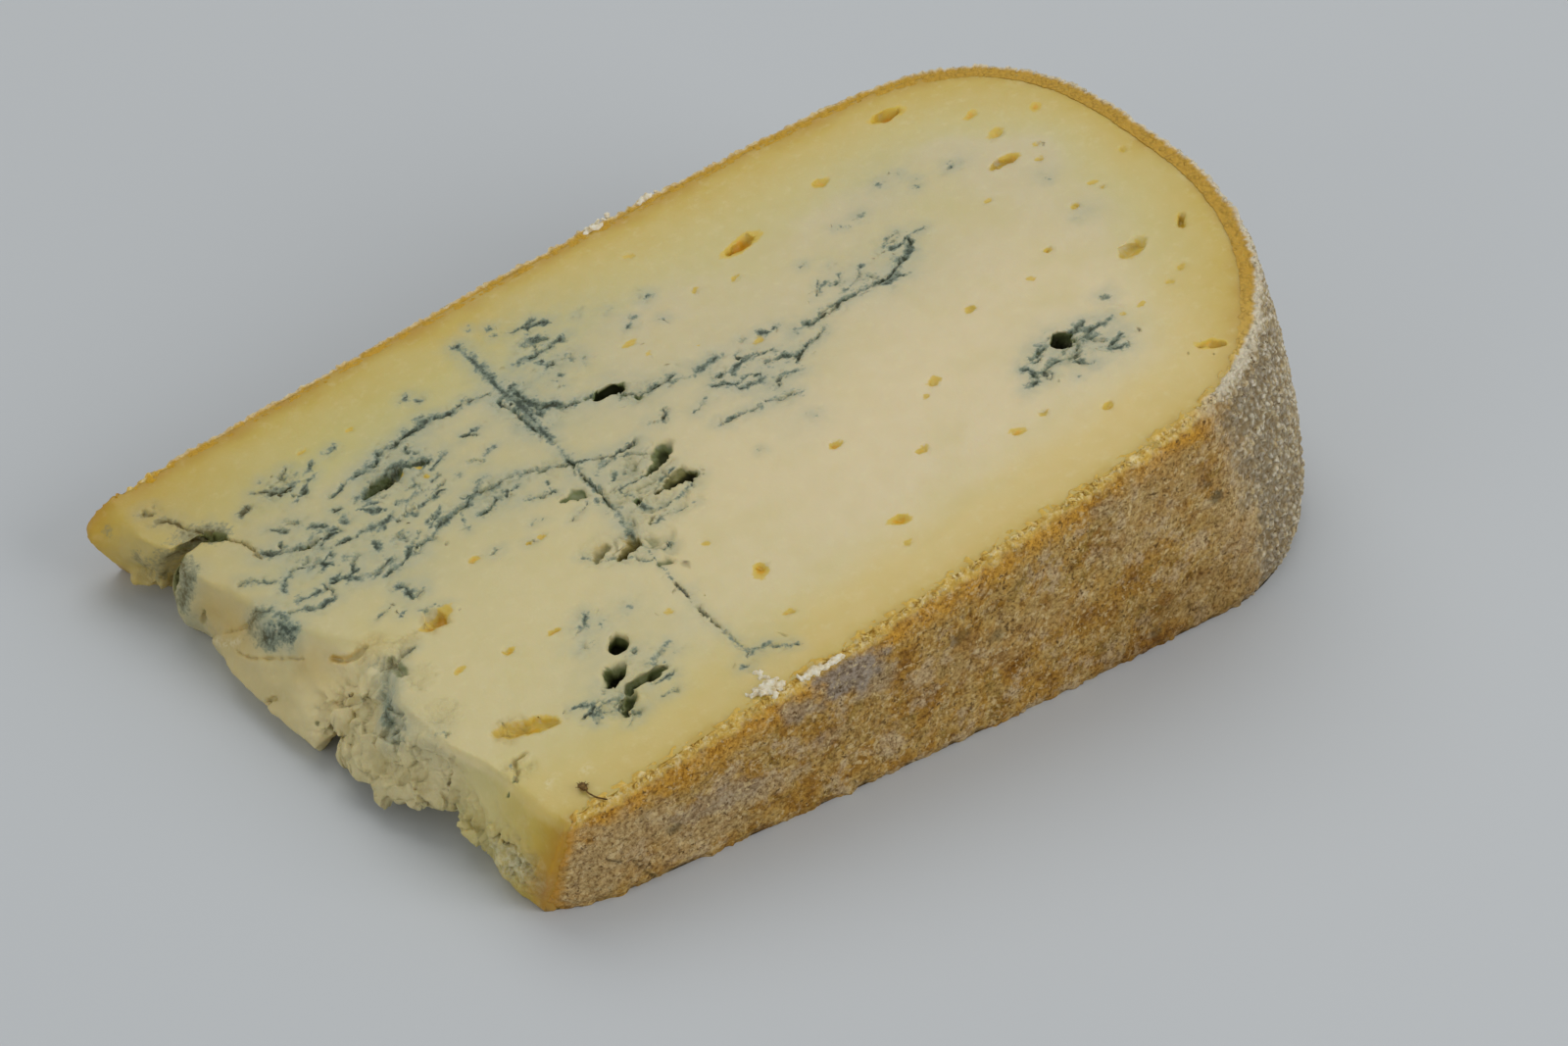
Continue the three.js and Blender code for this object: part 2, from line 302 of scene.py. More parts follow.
def wall(along, up):
    """The wall's outside in the plan, for arrays of shares along it and up it."""
    near_end, heel_middle, far_end = WALL_SHARES
    near_turn = eased_angle((heel_middle - along) / (heel_middle - near_end))
    far_turn = eased_angle((along - heel_middle) / (far_end - heel_middle))
    stretches = [
        face_line(NEAR, np.clip(along / near_end, 0, 1), up),
        heel_turn(NEAR, near_turn, up),
        heel_turn(FAR, far_turn, up),
        face_line(FAR, np.clip((1 - along) / (1 - far_end), 0, 1), up),
    ]
    which = [along < near_end, along < heel_middle, along < far_end, along <= 1]
    x = np.select(which, [stretch[0] for stretch in stretches])
    half = np.select(which, [stretch[1] for stretch in stretches])
    return x, np.where(along < heel_middle, -half, half) + MIDDLE[1]


# Lengths along the rind are measured at this share of its height.
MEASURED_UP = 0.6
dense = np.linspace(0, 1, 6000)
dense_x, dense_y = wall(dense, np.full_like(dense, MEASURED_UP))
dense_length = np.concatenate([[0], np.cumsum(np.hypot(np.diff(dense_x), np.diff(dense_y)))])
rind_length = dense_length[-1]
print("the rind's length, mm:", round(float(rind_length), 1))
RIND_THICK = 1.5
END_THIN = 4.0                     # the crust thins towards its broken ends over this length
END_SHARE = 0.66


def crust_share(length_in):
    """How much of its full thickness the crust has, from its broken ends inwards."""
    from_end = np.minimum(length_in, rind_length - length_in)
    return END_SHARE + (1 - END_SHARE) * grown(0, END_THIN, from_end)


# %% A measuring skin
# A coarse copy of the wall, against which distances to the rind are measured.
SKIN_COLUMNS, SKIN_ROWS = 360, 12
SKIN_TOP = 1.04                    # it stands a little higher than the cut
skin_along, skin_up = np.meshgrid(np.linspace(0, 1, SKIN_COLUMNS), np.linspace(0, SKIN_TOP, SKIN_ROWS))
skin_x, skin_y = wall(skin_along, skin_up)
skin_points = np.stack([skin_x, skin_y, skin_up * cut_height(skin_x)], -1).reshape(-1, 3)
skin_faces = [
    (row * SKIN_COLUMNS + i, row * SKIN_COLUMNS + i + 1,
     (row + 1) * SKIN_COLUMNS + i + 1, (row + 1) * SKIN_COLUMNS + i)
    for row in range(SKIN_ROWS - 1) for i in range(SKIN_COLUMNS - 1)
]
skin = BVHTree.FromPolygons([Vector(p) for p in skin_points], skin_faces)


def from_rind(points):
    """Each point's distance to the rind's outside, that outside's normal, and how far along it lies."""
    found = [skin.find_nearest(Vector(p)) for p in points]
    distance = np.array([hit[3] for hit in found])
    outward = np.array([hit[1] for hit in found])
    columns = np.array([hit[2] for hit in found]) % (SKIN_COLUMNS - 1)
    return distance, outward, np.interp((columns + 0.5) / (SKIN_COLUMNS - 1), dense, dense_length)


middle_depth = from_rind(np.zeros((1, 3)))[0][0]
print("a point on the wheel's middle line lies", round(float(middle_depth), 1), "mm in")

# %% [markdown]
# ## The block of paste
# The paste is the body of the wedge. Sculpting it from a primitive would lose the true outline, so it
# starts as a merged copy of the wedge's own solid. It is turned until the cut is level, because a voxel
# remesh keeps a level face perfectly flat, and it gains its crumbs before the remesh, which welds them on.

# %% A level copy
VOXEL = 0.38
paste = wedge.copy()
paste.data = wedge.data.copy()
paste.name = "paste"
paste.parent = None
bpy.context.collection.objects.link(paste)
for key in list(paste.keys()):
    del paste[key]
HINGE = (AXIS_X * MM, 0, 0)


def turn_about_hinge(piece, angle):
    edit_all(piece)
    bpy.ops.transform.rotate(value=angle, orient_axis="Y", center_override=HINGE)
    edit_done()


MERGE_WITHIN = 0.001
edit_all(paste)
bpy.ops.mesh.remove_doubles(threshold=MERGE_WITHIN * MM)
edit_done()
print("the merged copy has", triangles_in(paste), "triangles")

# %% [markdown]
# ## Crumbs along the break
# The break tore through the softest, mouldiest paste, which crumbles into lumps that hang over the
# floor. A displaced surface can't overhang, so each lump is an icosphere, pressed out of round and
# joined to the block. They follow short lines along the torn edge.

# %% Lumps
# Each line: from and to, in millimetres, how many lumps, their radius, and how far they stray.
LUMP_LINES = [
    ((-67.0, -6.8, 3.2), (-68.0, -12.0, 4.0), 5, 2.1, 0.6),        # the crumbling lip
    ((-68.0, -12.0, 4.0), (-67.2, -18.6, 4.8), 6, 2.0, 0.7),       # the overhang
    ((-66.6, -19.0, 5.0), (-62.8, -25.0, 5.0), 7, 1.7, 0.6),
    ((-62.4, -26.0, 4.4), (-62.4, -30.5, 3.2), 5, 1.4, 0.5),       # the near edge
    ((-66.2, -8.0, 6.2), (-66.2, -18.0, 8.6), 5, 1.8, 0.6),        # the valley's side
    ((-61.9, -34.0, 6.6), (-61.8, -38.6, 4.0), 6, 1.2, 0.8),       # the near knob's crumbs
    ((-73.4, 37.4, 3.4), (-71.6, 35.6, 3.0), 4, 1.4, 0.5),         # the far knob's foot
    ((-67.0, -4.8, 5.0), (-61.8, -5.8, 12.0), 8, 1.7, 0.4),        # the notch
]
LUMP_DETAIL = 3
LUMP_ROUGHNESS = 0.45              # of its radius
draw = random.Random(4)


def add_lump(centre, radius):
    bpy.ops.mesh.primitive_ico_sphere_add(
        subdivisions=LUMP_DETAIL, radius=radius * MM, location=[v * MM for v in centre])
    lump = bpy.context.object
    bpy.ops.object.transform_apply(location=True, rotation=True, scale=True)
    points = points_of(lump)
    outward = (points - np.array(centre)) / radius
    rough = uneven(points, radius * 1.1, 3, seed=centre[1])
    put_points(lump, points + outward * (LUMP_ROUGHNESS * radius * rough)[:, None])
    return lump


lumps = []
for start, end, lump_count, usual_radius, furthest in LUMP_LINES:
    start, end = np.array(start), np.array(end)
    for i in range(lump_count):
        share = (i + draw.random()) / lump_count
        stray = np.array([draw.uniform(-1, 1) for _ in range(3)]) * furthest
        radius = usual_radius * draw.uniform(0.6, 1.15)
        lumps.append(add_lump(start + (end - start) * share + stray, radius))
join([*lumps, paste], into=paste)
turn_about_hinge(paste, -WEDGE_ANGLE)
print(len(lumps), "lumps joined to the block")

# %% The voxel remesh
# Transform's turn goes the other way in a script with no window, so minus levels the cut.
voxel_remesh(paste, VOXEL)
turn_about_hinge(paste, WEDGE_ANGLE)
depth = below_cut(points_of(paste))
print("remeshed to", triangles_in(paste), "triangles; the cut lies",
      round(float(np.median(depth[depth < VOXEL / 2])), 4), "mm off")

# %% [markdown]
# ## Where the mould runs
# Blue mould grows only where air reached it: along the track of the piercing needle, along cracks that
# run off it, and in small openings. Each vein is a chain of points on the cut, in millimetres from the
# wheel's middle line, with its half width and how deep it is open. Freckles are single small openings.

# %% Veins
# The needle's track runs straight from the far side to the near rind: half width, depth, places.
TRACK = [
    (0.80, 0.0, [(-25.9, 36.6), (-25.9, 32.3), (-26.2, 27.2)]),
    (0.95, 0.1, [(-26.2, 27.2), (-25.9, 23.3), (-25.8, 19.2), (-26.2, 14.5)]),
    (0.50, 0.0, [(-26.2, 14.5), (-26.7, 7.4)]),
    (0.80, 0.8, [(-26.8, 7.5), (-26.6, 6.9)]),
    (0.44, 0.8, [(-26.7, 7.2), (-26.9, 1.3), (-27.0, -3.9)]),
    (0.60, 0.2, [(-27.0, -3.9), (-27.8, -9.0)]),
    (0.12, 0.0, [(-27.8, -9.0), (-28.0, -13.0), (-28.6, -20.5)]),
    (0.17, 0.76, [(-28.6, -20.5), (-28.8, -24.3), (-28.7, -30.7)]),
    (0.24, 0.2, [(-28.7, -30.7), (-28.5, -36.6)]),
]
VEINS = [
    (0.7, 0.5, [(-27.4, 23.5), (-27, 19), (-26.6, 15)]),
    (0.5, 0.3, [(-24.6, 25), (-24.9, 20), (-24.6, 17)]),
    (0.34, 0.3, [(-28.8, -36.8), (-26.5, -36.8), (-25.4, -38), (-23.5, -39.5)]),
    # the vein that crosses the track at the slot
    (0.8, 0.4, [(-25, 21), (-24, 18.6), (-22.5, 18)]),
    (0.7, 0.5, [(-22.5, 18), (-21.5, 16.5), (-19, 15.8), (-17.8, 15)]),
    (0.7, 0.8, [(-15, 12.8), (-13.5, 11.5), (-11, 11), (-8, 11.5)]),
    # the far vein, from the open mouth on the left to the track
    (0.75, 0.5, [(-48.4, 24.6), (-45, 25.4), (-43.5, 26.4), (-40, 26.8), (-38, 26.4), (-36, 27.2)]),
    (0.5, 0.4, [(-36, 27), (-34, 26.3), (-32, 26.6), (-31, 27), (-30, 26.3), (-27.5, 25.6)]),
    (1.0, 0.6, [(-50, 20.4), (-46, 22), (-44, 22.8), (-40.4, 21)]),
    (0.5, 0.3, [(-41, 25), (-40, 22.6)]),
    (0.5, 0.5, [(-43.2, 22), (-42, 21.4)]),
    (0.4, 0.2, [(-43, 19.5), (-43.5, 16.5)]),
    # greenish cracks of the left part
    (0.5, 0.4, [(-55, 6.5), (-52.5, 6.5), (-50.5, 7.5), (-49.5, 8.5), (-48, 8), (-46, 8.8), (-43, 9.8)]),
    (0.62, 0.5, [(-43, 9.8), (-40, 10.3), (-39, 11), (-36, 10.5), (-34, 10.3), (-32, 9.7), (-30, 8.7)]),
    (0.5, 0.6, [(-30, 8.7), (-28, 7.5), (-26.8, 7), (-25.5, 6), (-23, 5), (-20, 4.2), (-18.5, 4.5)]),
    (0.35, 0.4, [(-34.5, 5.3), (-33, 4.8), (-31, 4)]),
    (0.45, 0.5, [(-15.5, 6), (-14, 5), (-12.7, 6.7)]),
    # thin outlines of the torn flakes
    (0.26, 0.3, [(-24.0, 3.4), (-22.2, 3.9), (-20.3, 3.2), (-18.9, 1.6)]),
    (0.26, 0.3, [(-21.1, -1.5), (-22.7, -1.8), (-24.6, -1.4), (-26.4, -1.8)]),
    (0.24, 0.2, [(-25.9, -2.2), (-24.6, -2.4), (-24.0, -3.8), (-24.4, -4.8)]),
    (0.26, 0.3, [(-24.2, -6.0), (-23.0, -7.8), (-21.4, -8.3), (-19.5, -8.0), (-18.0, -7.4)]),
    (0.24, 0.2, [(-21.4, -4.6), (-19.6, -3.9), (-17.6, -3.6)]),
    (0.24, 0.2, [(-17.0, -5.4), (-15.4, -6.4)]),
    (0.24, 0.2, [(-28.4, -11.8), (-27.4, -13.7), (-25.8, -14.8), (-25.0, -13.9)]),
    (0.24, 0.2, [(-34.7, -8.3), (-33.4, -10.5), (-31.3, -11.8), (-29.6, -13.2), (-28.4, -15.3)]),
    (0.22, 0.2, [(-24.6, -10.0), (-21.6, -9.6), (-19.2, -10.4)]),
    (0.45, 0.4, [(-54.3, 3.6), (-53.6, 0.4), (-52.4, 0.8)]),
    (0.45, 0.4, [(-67, 9.5), (-65, 8.7), (-63.5, 7.5), (-61.5, 7.6), (-61, 8.5), (-61, 10.5)]),
    (0.9, 0.3, [(-71.6, 12.4), (-70.8, 10.6), (-69.4, 8.6), (-68.5, 6.6)]),
    (0.7, 0.3, [(-71.4, 12.6), (-69.8, 12.8), (-68.4, 11.6)]),
    (0.6, 0.6, [(-72, 36), (-70.5, 35), (-69.8, 33), (-69, 31), (-67.4, 29.4)]),
    (0.6, 0.5, [(-72.4, 39), (-71.6, 37.4)]),
    (0.55, 0.3, [(-61.5, 24), (-60, 22.5)]),
    (0.5, 0.3, [(-59.4, 23.6), (-58, 22.4)]),
    (0.6, 0.5, [(-64.5, 21), (-63.5, 20.5), (-62.5, 19.5), (-61, 18.2), (-59, 18), (-57.5, 18)]),
    (0.5, 0.4, [(-58, 17), (-56.5, 18), (-55, 17.8)]),
    (0.45, 0.3, [(-57.2, 20.6), (-55.8, 19.6)]),
    (0.5, 0.3, [(-65.6, 13.4), (-64.5, 15), (-63.5, 14.8)]),
    (0.5, 0.3, [(-61.5, 14.5), (-60, 14.8), (-59.4, 14.4), (-58.5, 13)]),
    (0.4, 0.3, [(-69, 18.5), (-67.5, 17.5), (-66, 15.5)]),
    (0.55, 0.3, [(-52.5, 13), (-53, 11.5)]),
    (0.4, 0.3, [(-49.5, 11.5), (-49, 10)]),
    # the cluster by the far knob
    (1.0, 0.8, [(-58.6, 30.0), (-57.0, 29.2), (-55.6, 29.3)]),
    (0.7, 0.9, [(-57.4, 29.0), (-56.2, 28.6)]),
    (0.55, 0.6, [(-55.6, 31.4), (-54.6, 32.4)]),
    (0.5, 0.5, [(-59.6, 31.6), (-58.8, 30.6)]),
    (0.5, 0.6, [(-62.8, 29.0), (-61.8, 29.6)]),
    # the long vein that climbs to the right
    (0.42, 0.4, [(-9, -0.5), (-8, -1), (-5, -1), (-3, -1.5), (0, -2.3), (1.5, -2.5)]),
    (0.5, 0.4, [(0.5, 0), (1, 0.8), (3, 1), (4.6, 0.2)]),
    (0.5, 0.5, [(5, 2), (6.5, 3), (8, 3.5), (10, 4), (11.5, 5)]),
    (0.6, 0.4, [(2, 4.5), (4, 4), (6, 3)]),
    (0.55, 0.6, [(10, 6.8), (12, 7), (14, 7), (17.5, 7.4), (20, 7), (21.5, 6.9), (23.5, 7.1)]),
    (0.65, 0.5, [(23.5, 7.1), (25, 7.8), (27, 8.5), (29, 10), (29.3, 11.5)]),
    (0.45, 0.3, [(21.3, 9.3), (21.6, 7.6)]),
    (0.45, 0.3, [(22, 6), (24, 6.2), (25, 5.5)]),
    (0.5, 0.3, [(26.5, 11), (28, 11), (30, 12), (32, 11.5)]),
    (0.7, 0.3, [(-5, 10), (-2.5, 10.3)]),
    (0.5, 0.3, [(-5.5, 6), (-4, 5), (-3, 4)]),
    (0.5, 0.3, [(-3, 3), (-2, 2.8), (-0.5, 2.4)]),
    # the branches round the heel hole
    (0.7, 0.4, [(28, -19), (30, -18.7)]),
    (0.6, 0.4, [(25, -20), (25.3, -21.5), (25, -23), (23.5, -23.5)]),
    (0.55, 0.4, [(26, -22.8), (27.3, -22), (29.5, -21.8)]),
    (0.55, 0.4, [(33, -20.5), (36, -20.3), (38.8, -20.2)]),
    (0.5, 0.4, [(34, -21), (34.7, -22), (35.5, -23)]),
    (0.6, 0.5, [(32.5, -21.5), (31, -23), (31.2, -24.5), (32, -25.3)]),
    (0.5, 0.4, [(35, -24), (36.5, -24.2), (38, -23.7)]),
    (0.4, 0.3, [(35.3, -25), (36.8, -26)]),
    # cracks round the three holes by the near rind
    (0.55, 0.4, [(-44, -34.5), (-43.4, -35.6)]),
    (0.28, 0.2, [(-47.6, -32), (-45.5, -31.4)]),
    (0.26, 0.2, [(-47.6, -32), (-45, -33.5), (-44, -33.6)]),
    (0.24, 0.2, [(-44, -34.8), (-45.3, -36.5)]),
    (0.3, 0.3, [(-40, -35.2), (-38, -35.5)]),
    (0.5, 0.4, [(-41.6, -19), (-40, -17.2)]),
]
# Freckles: x, y and the radius of the mouldy spot.
FRECKLES = [
    (-18, 32, .7), (-18.5, 31, .6), (-18, 29.5, .7), (-17.5, 28, .6), (-20, 27.5, .6), (-19.5, 26, .6),
    (-19.5, 24, .7), (-20, 21.5, .6), (-19, 22, .6), (-20, 20, .5), (-15.5, 34, .5), (-11, 30.5, .6),
    (-7.5, 28, .5), (-2.4, 27, .8), (-6, 24.5, .5), (-7, 23.5, .5), (-3, 21.5, .5), (-15.5, 21.5, .5),
    (-14.5, 22.5, .5), (-23, 38.5, .5), (-21, 37, .5), (-21.5, 35, .5), (-36, 33, .8), (-35, 31.5, .6),
    (-58, 33, .5), (-57.5, 31.3, .6), (-56, 29, .9), (-57.4, 29.4, 1.0), (-54, 31, .6), (-62.5, 29.5, .6),
    (-67.3, 31, .6), (-70.7, 38.8, .5), (-48, 19, .8), (-49, 16.5, .7), (-47, 16.5, .6), (-39.5, 22.7, .5),
    (-40, 17, .5), (-38.5, 16, .5), (-36.5, 28.2, .8), (-17.5, -7.5, .7), (-4, 8.5, .5), (0.5, 8.5, .6),
    (8, 6.5, .8), (24, 19.5, .6), (27, 19.8, .7), (33, 22.8, .6), (36, 22.8, .6), (36.3, 19, .6),
    (37, 20.3, .5), (42, 19.3, .7), (18.5, 14.3, .5), (16, 17, .5), (18, 10.3, .5), (49.5, 7.8, .5),
    (47.5, -1.5, .4), (1, -8, .4), (-7.5, -8.5, .4), (28.8, 13.6, .6), (40.8, -16.5, .9), (-39, -20, .5),
    (-43, -22, .6), (-41.8, -22.5, .5), (-38.5, -27, .8), (-35, -20, .5), (-35, -30.5, .5),
    (-36.8, -31, .5), (-30.2, -38.2, .7), (-28.5, -22.8, .5), (-61.6, 18.6, .8), (29.5, -26, .4),
    (-26.4, 22, 1.0), (-26.9, 17, .9), (38.4, -20.2, .8), (-70.6, 12.9, .6), (-68.3, 9.4, .7),
]
# Soft blue-green haze in the paste round the veins: x, y, radius and strength.
HAZES = [
    (-17, 32, 9, .34), (-9, 28, 8, .26), (-20, 25, 6, .5), (-26, 24, 5, .8), (-26, 17, 5, .8),
    (-45, 22, 6, .75), (-38, 26, 5, .5), (-37, 9, 6, .7), (-52, 9, 6, .6), (-60, 17, 7, .75),
    (-58, 30, 5, .45), (-70, 36, 5, .2), (-70, 10, 4, .9), (-65, -13, 5, .25), (-21, 0, 6, .7),
    (-24, -6, 6, .5), (-30, -11, 5, .4), (-13, 12, 5, .5), (-3, 6, 8, .34), (6, 5, 7, .36),
    (24, 9, 8, .4), (33, 23, 8, .3), (31, -21, 7, .7), (36, -23, 6, .5), (-41, -21, 5, .4),
    (-43, -30, 7, .5), (-27, -37, 5, .3), (-64, 24, 5, .3), (-27, 4, 5, .5), (-53, 3, 4, .4),
    (-35.3, -19.9, 5, .3), (-31.8, -27.7, 5, .26), (-0.4, -0.4, 5, .5), (-0.9, -8.0, 5, .26),
    (-20.0, 13.5, 5, .3), (-20.5, 25.6, 5, .4), (-15.0, 16.6, 3.4, .5), (49.4, -1.5, 3, .4),
    (50.0, 9.0, 3, .3), (43.6, 19.2, 3, .3),
]
# Where the cut stays pale nearer to the rind than elsewhere: x, y, radius and strength.
CREAMS = [(52.0, 13.0, 9, .44), (42.0, 22.0, 7, .2), (51.0, -1.0, 8, .30)]
# Where it's riper than elsewhere.
RIPER = [(37.8, 15.0, 8, .13), (11.0, 23.0, 10, .12), (26.0, 14.0, 8, .06), (-19.0, 24.0, 7, .06),
         (39.0, -14.0, 8, .07), (48.0, -23.0, 8, .10), (33.0, -38.0, 8, .06)]
# The two holes that are painted black inside, as painted shade.
SHADED_HOLES = [(-15.6, 14.8, 5.0, 1.0), (31.0, -19.1, 3.4, 0.8)]

# Short strokes of mould are also scattered over the soft parts, mostly along the wedge. Each field: its
# middle, its half length and half width, how many strokes, and how wide they are.
STROKE_FIELDS = [
    (-48.0, 14.0, 15.0, 7.0, 52, 0.46), (-56.0, 28.0, 8.0, 4.0, 7, 0.45), (-19.0, 29.0, 4.0, 6.0, 14, 0.5),
    (-33.0, 3.0, 10.0, 5.0, 9, 0.28), (-2.0, 7.0, 8.0, 4.0, 12, 0.42), (20.0, 10.0, 8.0, 3.0, 8, 0.4),
    (31.0, -21.0, 5.0, 3.0, 12, 0.5), (-42.0, -30.0, 6.0, 5.0, 12, 0.4), (-58.0, -2.0, 6.0, 5.0, 6, 0.3),
]
strokes = []
draw = random.Random(11)
for middle_x, middle_y, half_long, half_wide, stroke_count, width in STROKE_FIELDS:
    for _ in range(stroke_count):
        x = middle_x + half_long * draw.uniform(-1, 1)
        y = middle_y + half_wide * draw.uniform(-1, 1)
        angle = math.radians(draw.gauss(10, 26))
        length = draw.uniform(0.6, 3.6)
        step = (length / 2 * math.cos(angle), length / 2 * math.sin(angle))
        sag = draw.uniform(-0.5, 0.5)
        chain = [(x - step[0], y - step[1]), (x, y + sag), (x + step[0], y + step[1])]
        strokes.append((width * draw.uniform(0.6, 1.2), draw.uniform(0.0, 0.5), chain))


def chain_reach(points, chain):
    """The distance from each point to a chain of places, in the plan or in space."""
    chain = np.array(chain, float)
    best = np.full(len(points), FAR_AWAY)
    for start, end in zip(chain[:-1], chain[1:]):
        step = end - start
        share = np.clip(((points - start) @ step) / max(step @ step, 1e-9), 0, 1)
        best = np.minimum(best, np.linalg.norm(points - start - share[:, None] * step, axis=1))
    return best


def wandered(points, share=1.0):
    """The places in the plan, shifted a little, so that whatever is drawn there has a ragged edge."""
    return points[:, :2] + share * (0.55 * drift(points, 2.6) + 0.36 * drift(points, 0.9))[:, :2]


def by_vein(flat_points, margin, veins):
    """Yields each vein's half width and depth, which points lie near it, and how far from it they are."""
    for half_width, depth, chain in veins:
        low = np.min(chain, 0) + MIDDLE - margin
        high = np.max(chain, 0) + MIDDLE + margin
        close = np.nonzero(np.all((flat_points > low) & (flat_points < high), 1))[0]
        if len(close):
            yield half_width, depth, close, chain_reach(flat_points[close], np.array(chain) + MIDDLE)


freckles = [(radius * 0.75, radius * 0.6, [(x, y)] * 2) for x, y, radius in FRECKLES]
GROWN_VEINS = VEINS + strokes + freckles


def nearest_vein(flat_points, margin=6.0):
    best = np.full(len(flat_points), margin)
    for _, _, close, distance in by_vein(flat_points, margin, TRACK + GROWN_VEINS):
        best[close] = np.minimum(best[close], distance)
    return best


print(len(VEINS), "veins,", len(strokes), "strokes and", len(FRECKLES), "freckles")

# %% [markdown]
# ## Eyes, drag marks and cracks
# Ripe paste has yellow eyes where gas sat, and rough patches where the knife dragged flakes out. The torn
# end has cracks and clefts of its own, which are chains of places in space.

# %% Eyes, drag marks and cracks
# Eyes: x, y, length, width, turn in degrees, depth, and how golden they are.
EYES = [
    (12.6, 26.5, 5.2, 2.2, 6, .5, 1.0), (42.2, 34.4, 4.6, 1.9, -6, .4, .9),
    (27.5, 29.3, 2, 1.2, 10, .4, .8),
    (50.3, 26, 2, 1, 0, .4, .8), (57.5, 20.8, 1.8, 1.2, 40, .4, .8), (50.3, 20.5, 3, 1.5, 0, .4, .45),
    (46.5, 14.8, 2, 1.4, 0, .4, .5), (49, 14.8, 2, 1.2, 20, .4, .5), (52.7, 14.5, 1.4, 1, 0, .4, .5),
    (51.3, 11.7, 1.4, 1, 0, .4, .5), (41.3, 9.8, 1.8, 1.2, 0, .3, .35), (60.2, 5, 1.4, 1, 60, .4, .7),
    (53.5, 2.8, 1.3, .9, 0, .4, .6), (53.8, 1, 1.3, .9, 30, .4, .6), (48.8, .5, 1.3, .9, 0, .4, .6),
    (41, -3.7, 1.4, 1, 0, .4, .6), (36, -6.8, 1.4, 1, 0, .4, .6), (26.5, -6, 1.6, 1.2, 0, .4, .6),
    (51.5, -19, 1.5, 1, 30, .4, .6), (48.5, -20, 1.4, 1, 0, .4, .6), (17.5, -28.5, 2, 1.3, -20, .4, .8),
    (22, -28.3, 1.5, 1, 0, .4, .7), (28.5, -33, 1.4, 1, 0, .4, .7), (7, -22.7, 1.8, 1.2, 10, .4, .7),
    (15.5, -13.7, 1.8, 1.2, 0, .4, .6), (13.2, -15.5, 1.2, .9, 0, .3, .6),
    (-.3, -14.2, 1.5, 1.1, 0, .5, .9), (-2.4, -30.9, 2.6, 1.5, -30, .6, 1.0),
    (-3.5, -34.8, 1.4, 1, 0, .3, .4), (-19.7, -26, 2.6, 1.6, 70, .6, 1.0),
    (-21, -34.7, 1.2, .9, 0, .4, .9), (-22, -17.3, 1.2, .8, 0, .3, .5), (-44, -17, 1.6, .9, 0, .4, .9),
    (-50, -16, 1.4, 1.1, 0, .4, .8), (-56, -14.3, 1.3, 1, 0, .4, .8), (-38.3, -1.5, 1, .8, 0, .3, .5),
    (-36.6, -1.8, 1, .8, 0, .3, .5), (-44.8, .8, 1.3, 1, 0, .4, .7), (-31.8, -24, 1.4, 1, 0, .3, .4),
    (-54.6, -28.1, 7.4, 2.2, -28, .5, .6), (-57.4, -26.2, 2.6, 1.4, 10, .5, .5),
    (-53.2, -4.6, 3.6, 1.6, 20, .6, .9), (-55.0, -5.6, 2.0, 1.2, -30, .5, .8),
    (-2.7, 13.5, .9, .8, 0, .3, .6), (3.5, 9, 2.3, 1, 20, .3, .45), (-9, 20.5, 2.4, 1, 10, .4, .7),
    (-8.2, 17.3, 1.2, .9, 0, .3, .5), (.5, 35.4, 1.6, 1, 0, .3, .4), (-44.7, 33.3, 1.3, .9, 0, .3, .6),
    (-51.7, 33.7, 1.3, .9, 0, .3, .5), (3, 23.3, 1.2, .9, 0, .3, .5), (8.3, 21.5, 1.2, .9, 0, .3, .5),
    (49, -11.6, 5.0, 2.4, 18, .2, .4), (57, -11.6, 2.8, 1.2, 66, .4, .5),
    (44.9, -33.2, 3.6, 1.5, -47, .2, 1.0), (47.8, 14.8, 4.4, 1.6, -4, .2, .4),
    (-44, 21.5, 1.0, .9, 0, .5, .9), (-41.5, 20.8, .8, .7, 0, .4, .9),
    (-41.5, 18.3, .8, .7, 0, .4, .8), (40.3, -21, 1.0, .8, 0, .3, .8), (43, -20.8, 1.0, .8, 0, .3, .8),
]
# Black openings: x, y, length, width, turn and how much deeper than the solid's own hole. Their depth is
# painted dark as painted shade.
HOLLOWS = [(-15.7, 14.5, 3.7, 1.7, -20, 2.2), (-58.9, 18.0, 2.0, 0.8, 10, 1.0),
           (-45.4, 21.2, 4.2, 1.2, 14, 1.2), (-42.0, -27.4, 2.6, 1.8, 0, 0.6)]
# Scars where a flake came away: x, y, length, width, turn, depth, how dark and how golden. Each tapers like
# a splinter and is deepest along its near side, where it ends in a little wall.
# How dark is painted on the scar's floor and grows with its depth: olive mould and painted shade.
SCARS = [
    (-18.3, 0.0, 6.0, 2.2, 30, 1.9, .85, .0), (-18.8, -5.2, 5.8, 2.0, 4, 2.1, 1.0, .4),
    (-24.2, -5.0, 1.6, 1.1, 60, 1.2, 1.0, .0), (-29.6, -11.2, 4.4, 2.0, 26, 1.5, .75, .7),
    (-29.8, 1.6, 3.4, 1.8, 4, 0.7, .55, .0), (-32.8, -9.4, 3.6, 1.8, 24, 0.6, .40, .5),
    (-24.9, -9.0, 1.7, 1.0, 40, 0.6, .50, .2), (-27.6, -16.3, 1.3, 0.8, 20, 0.5, .55, .1),
    (-22.6, 1.2, 4.4, 3.0, 20, 0.50, .08, .0), (-23.2, -6.8, 4.6, 2.6, -14, 0.55, .10, .0),
    (-25.8, -12.4, 4.4, 3.0, 10, 0.45, .06, .0), (-21.8, -3.0, 4.0, 1.8, 14, 0.55, .12, .0),
    (-26.6, -2.6, 3.0, 1.6, -40, 0.40, .14, .0), (-20.4, -8.8, 4.2, 1.8, 24, 0.40, .10, .0),
    (-15.6, 14.8, 4.4, 1.7, -26, 0.8, 1.6, .0), (44.9, -33.3, 4.0, 1.3, -47, 0.8, .25, 1.0),
]
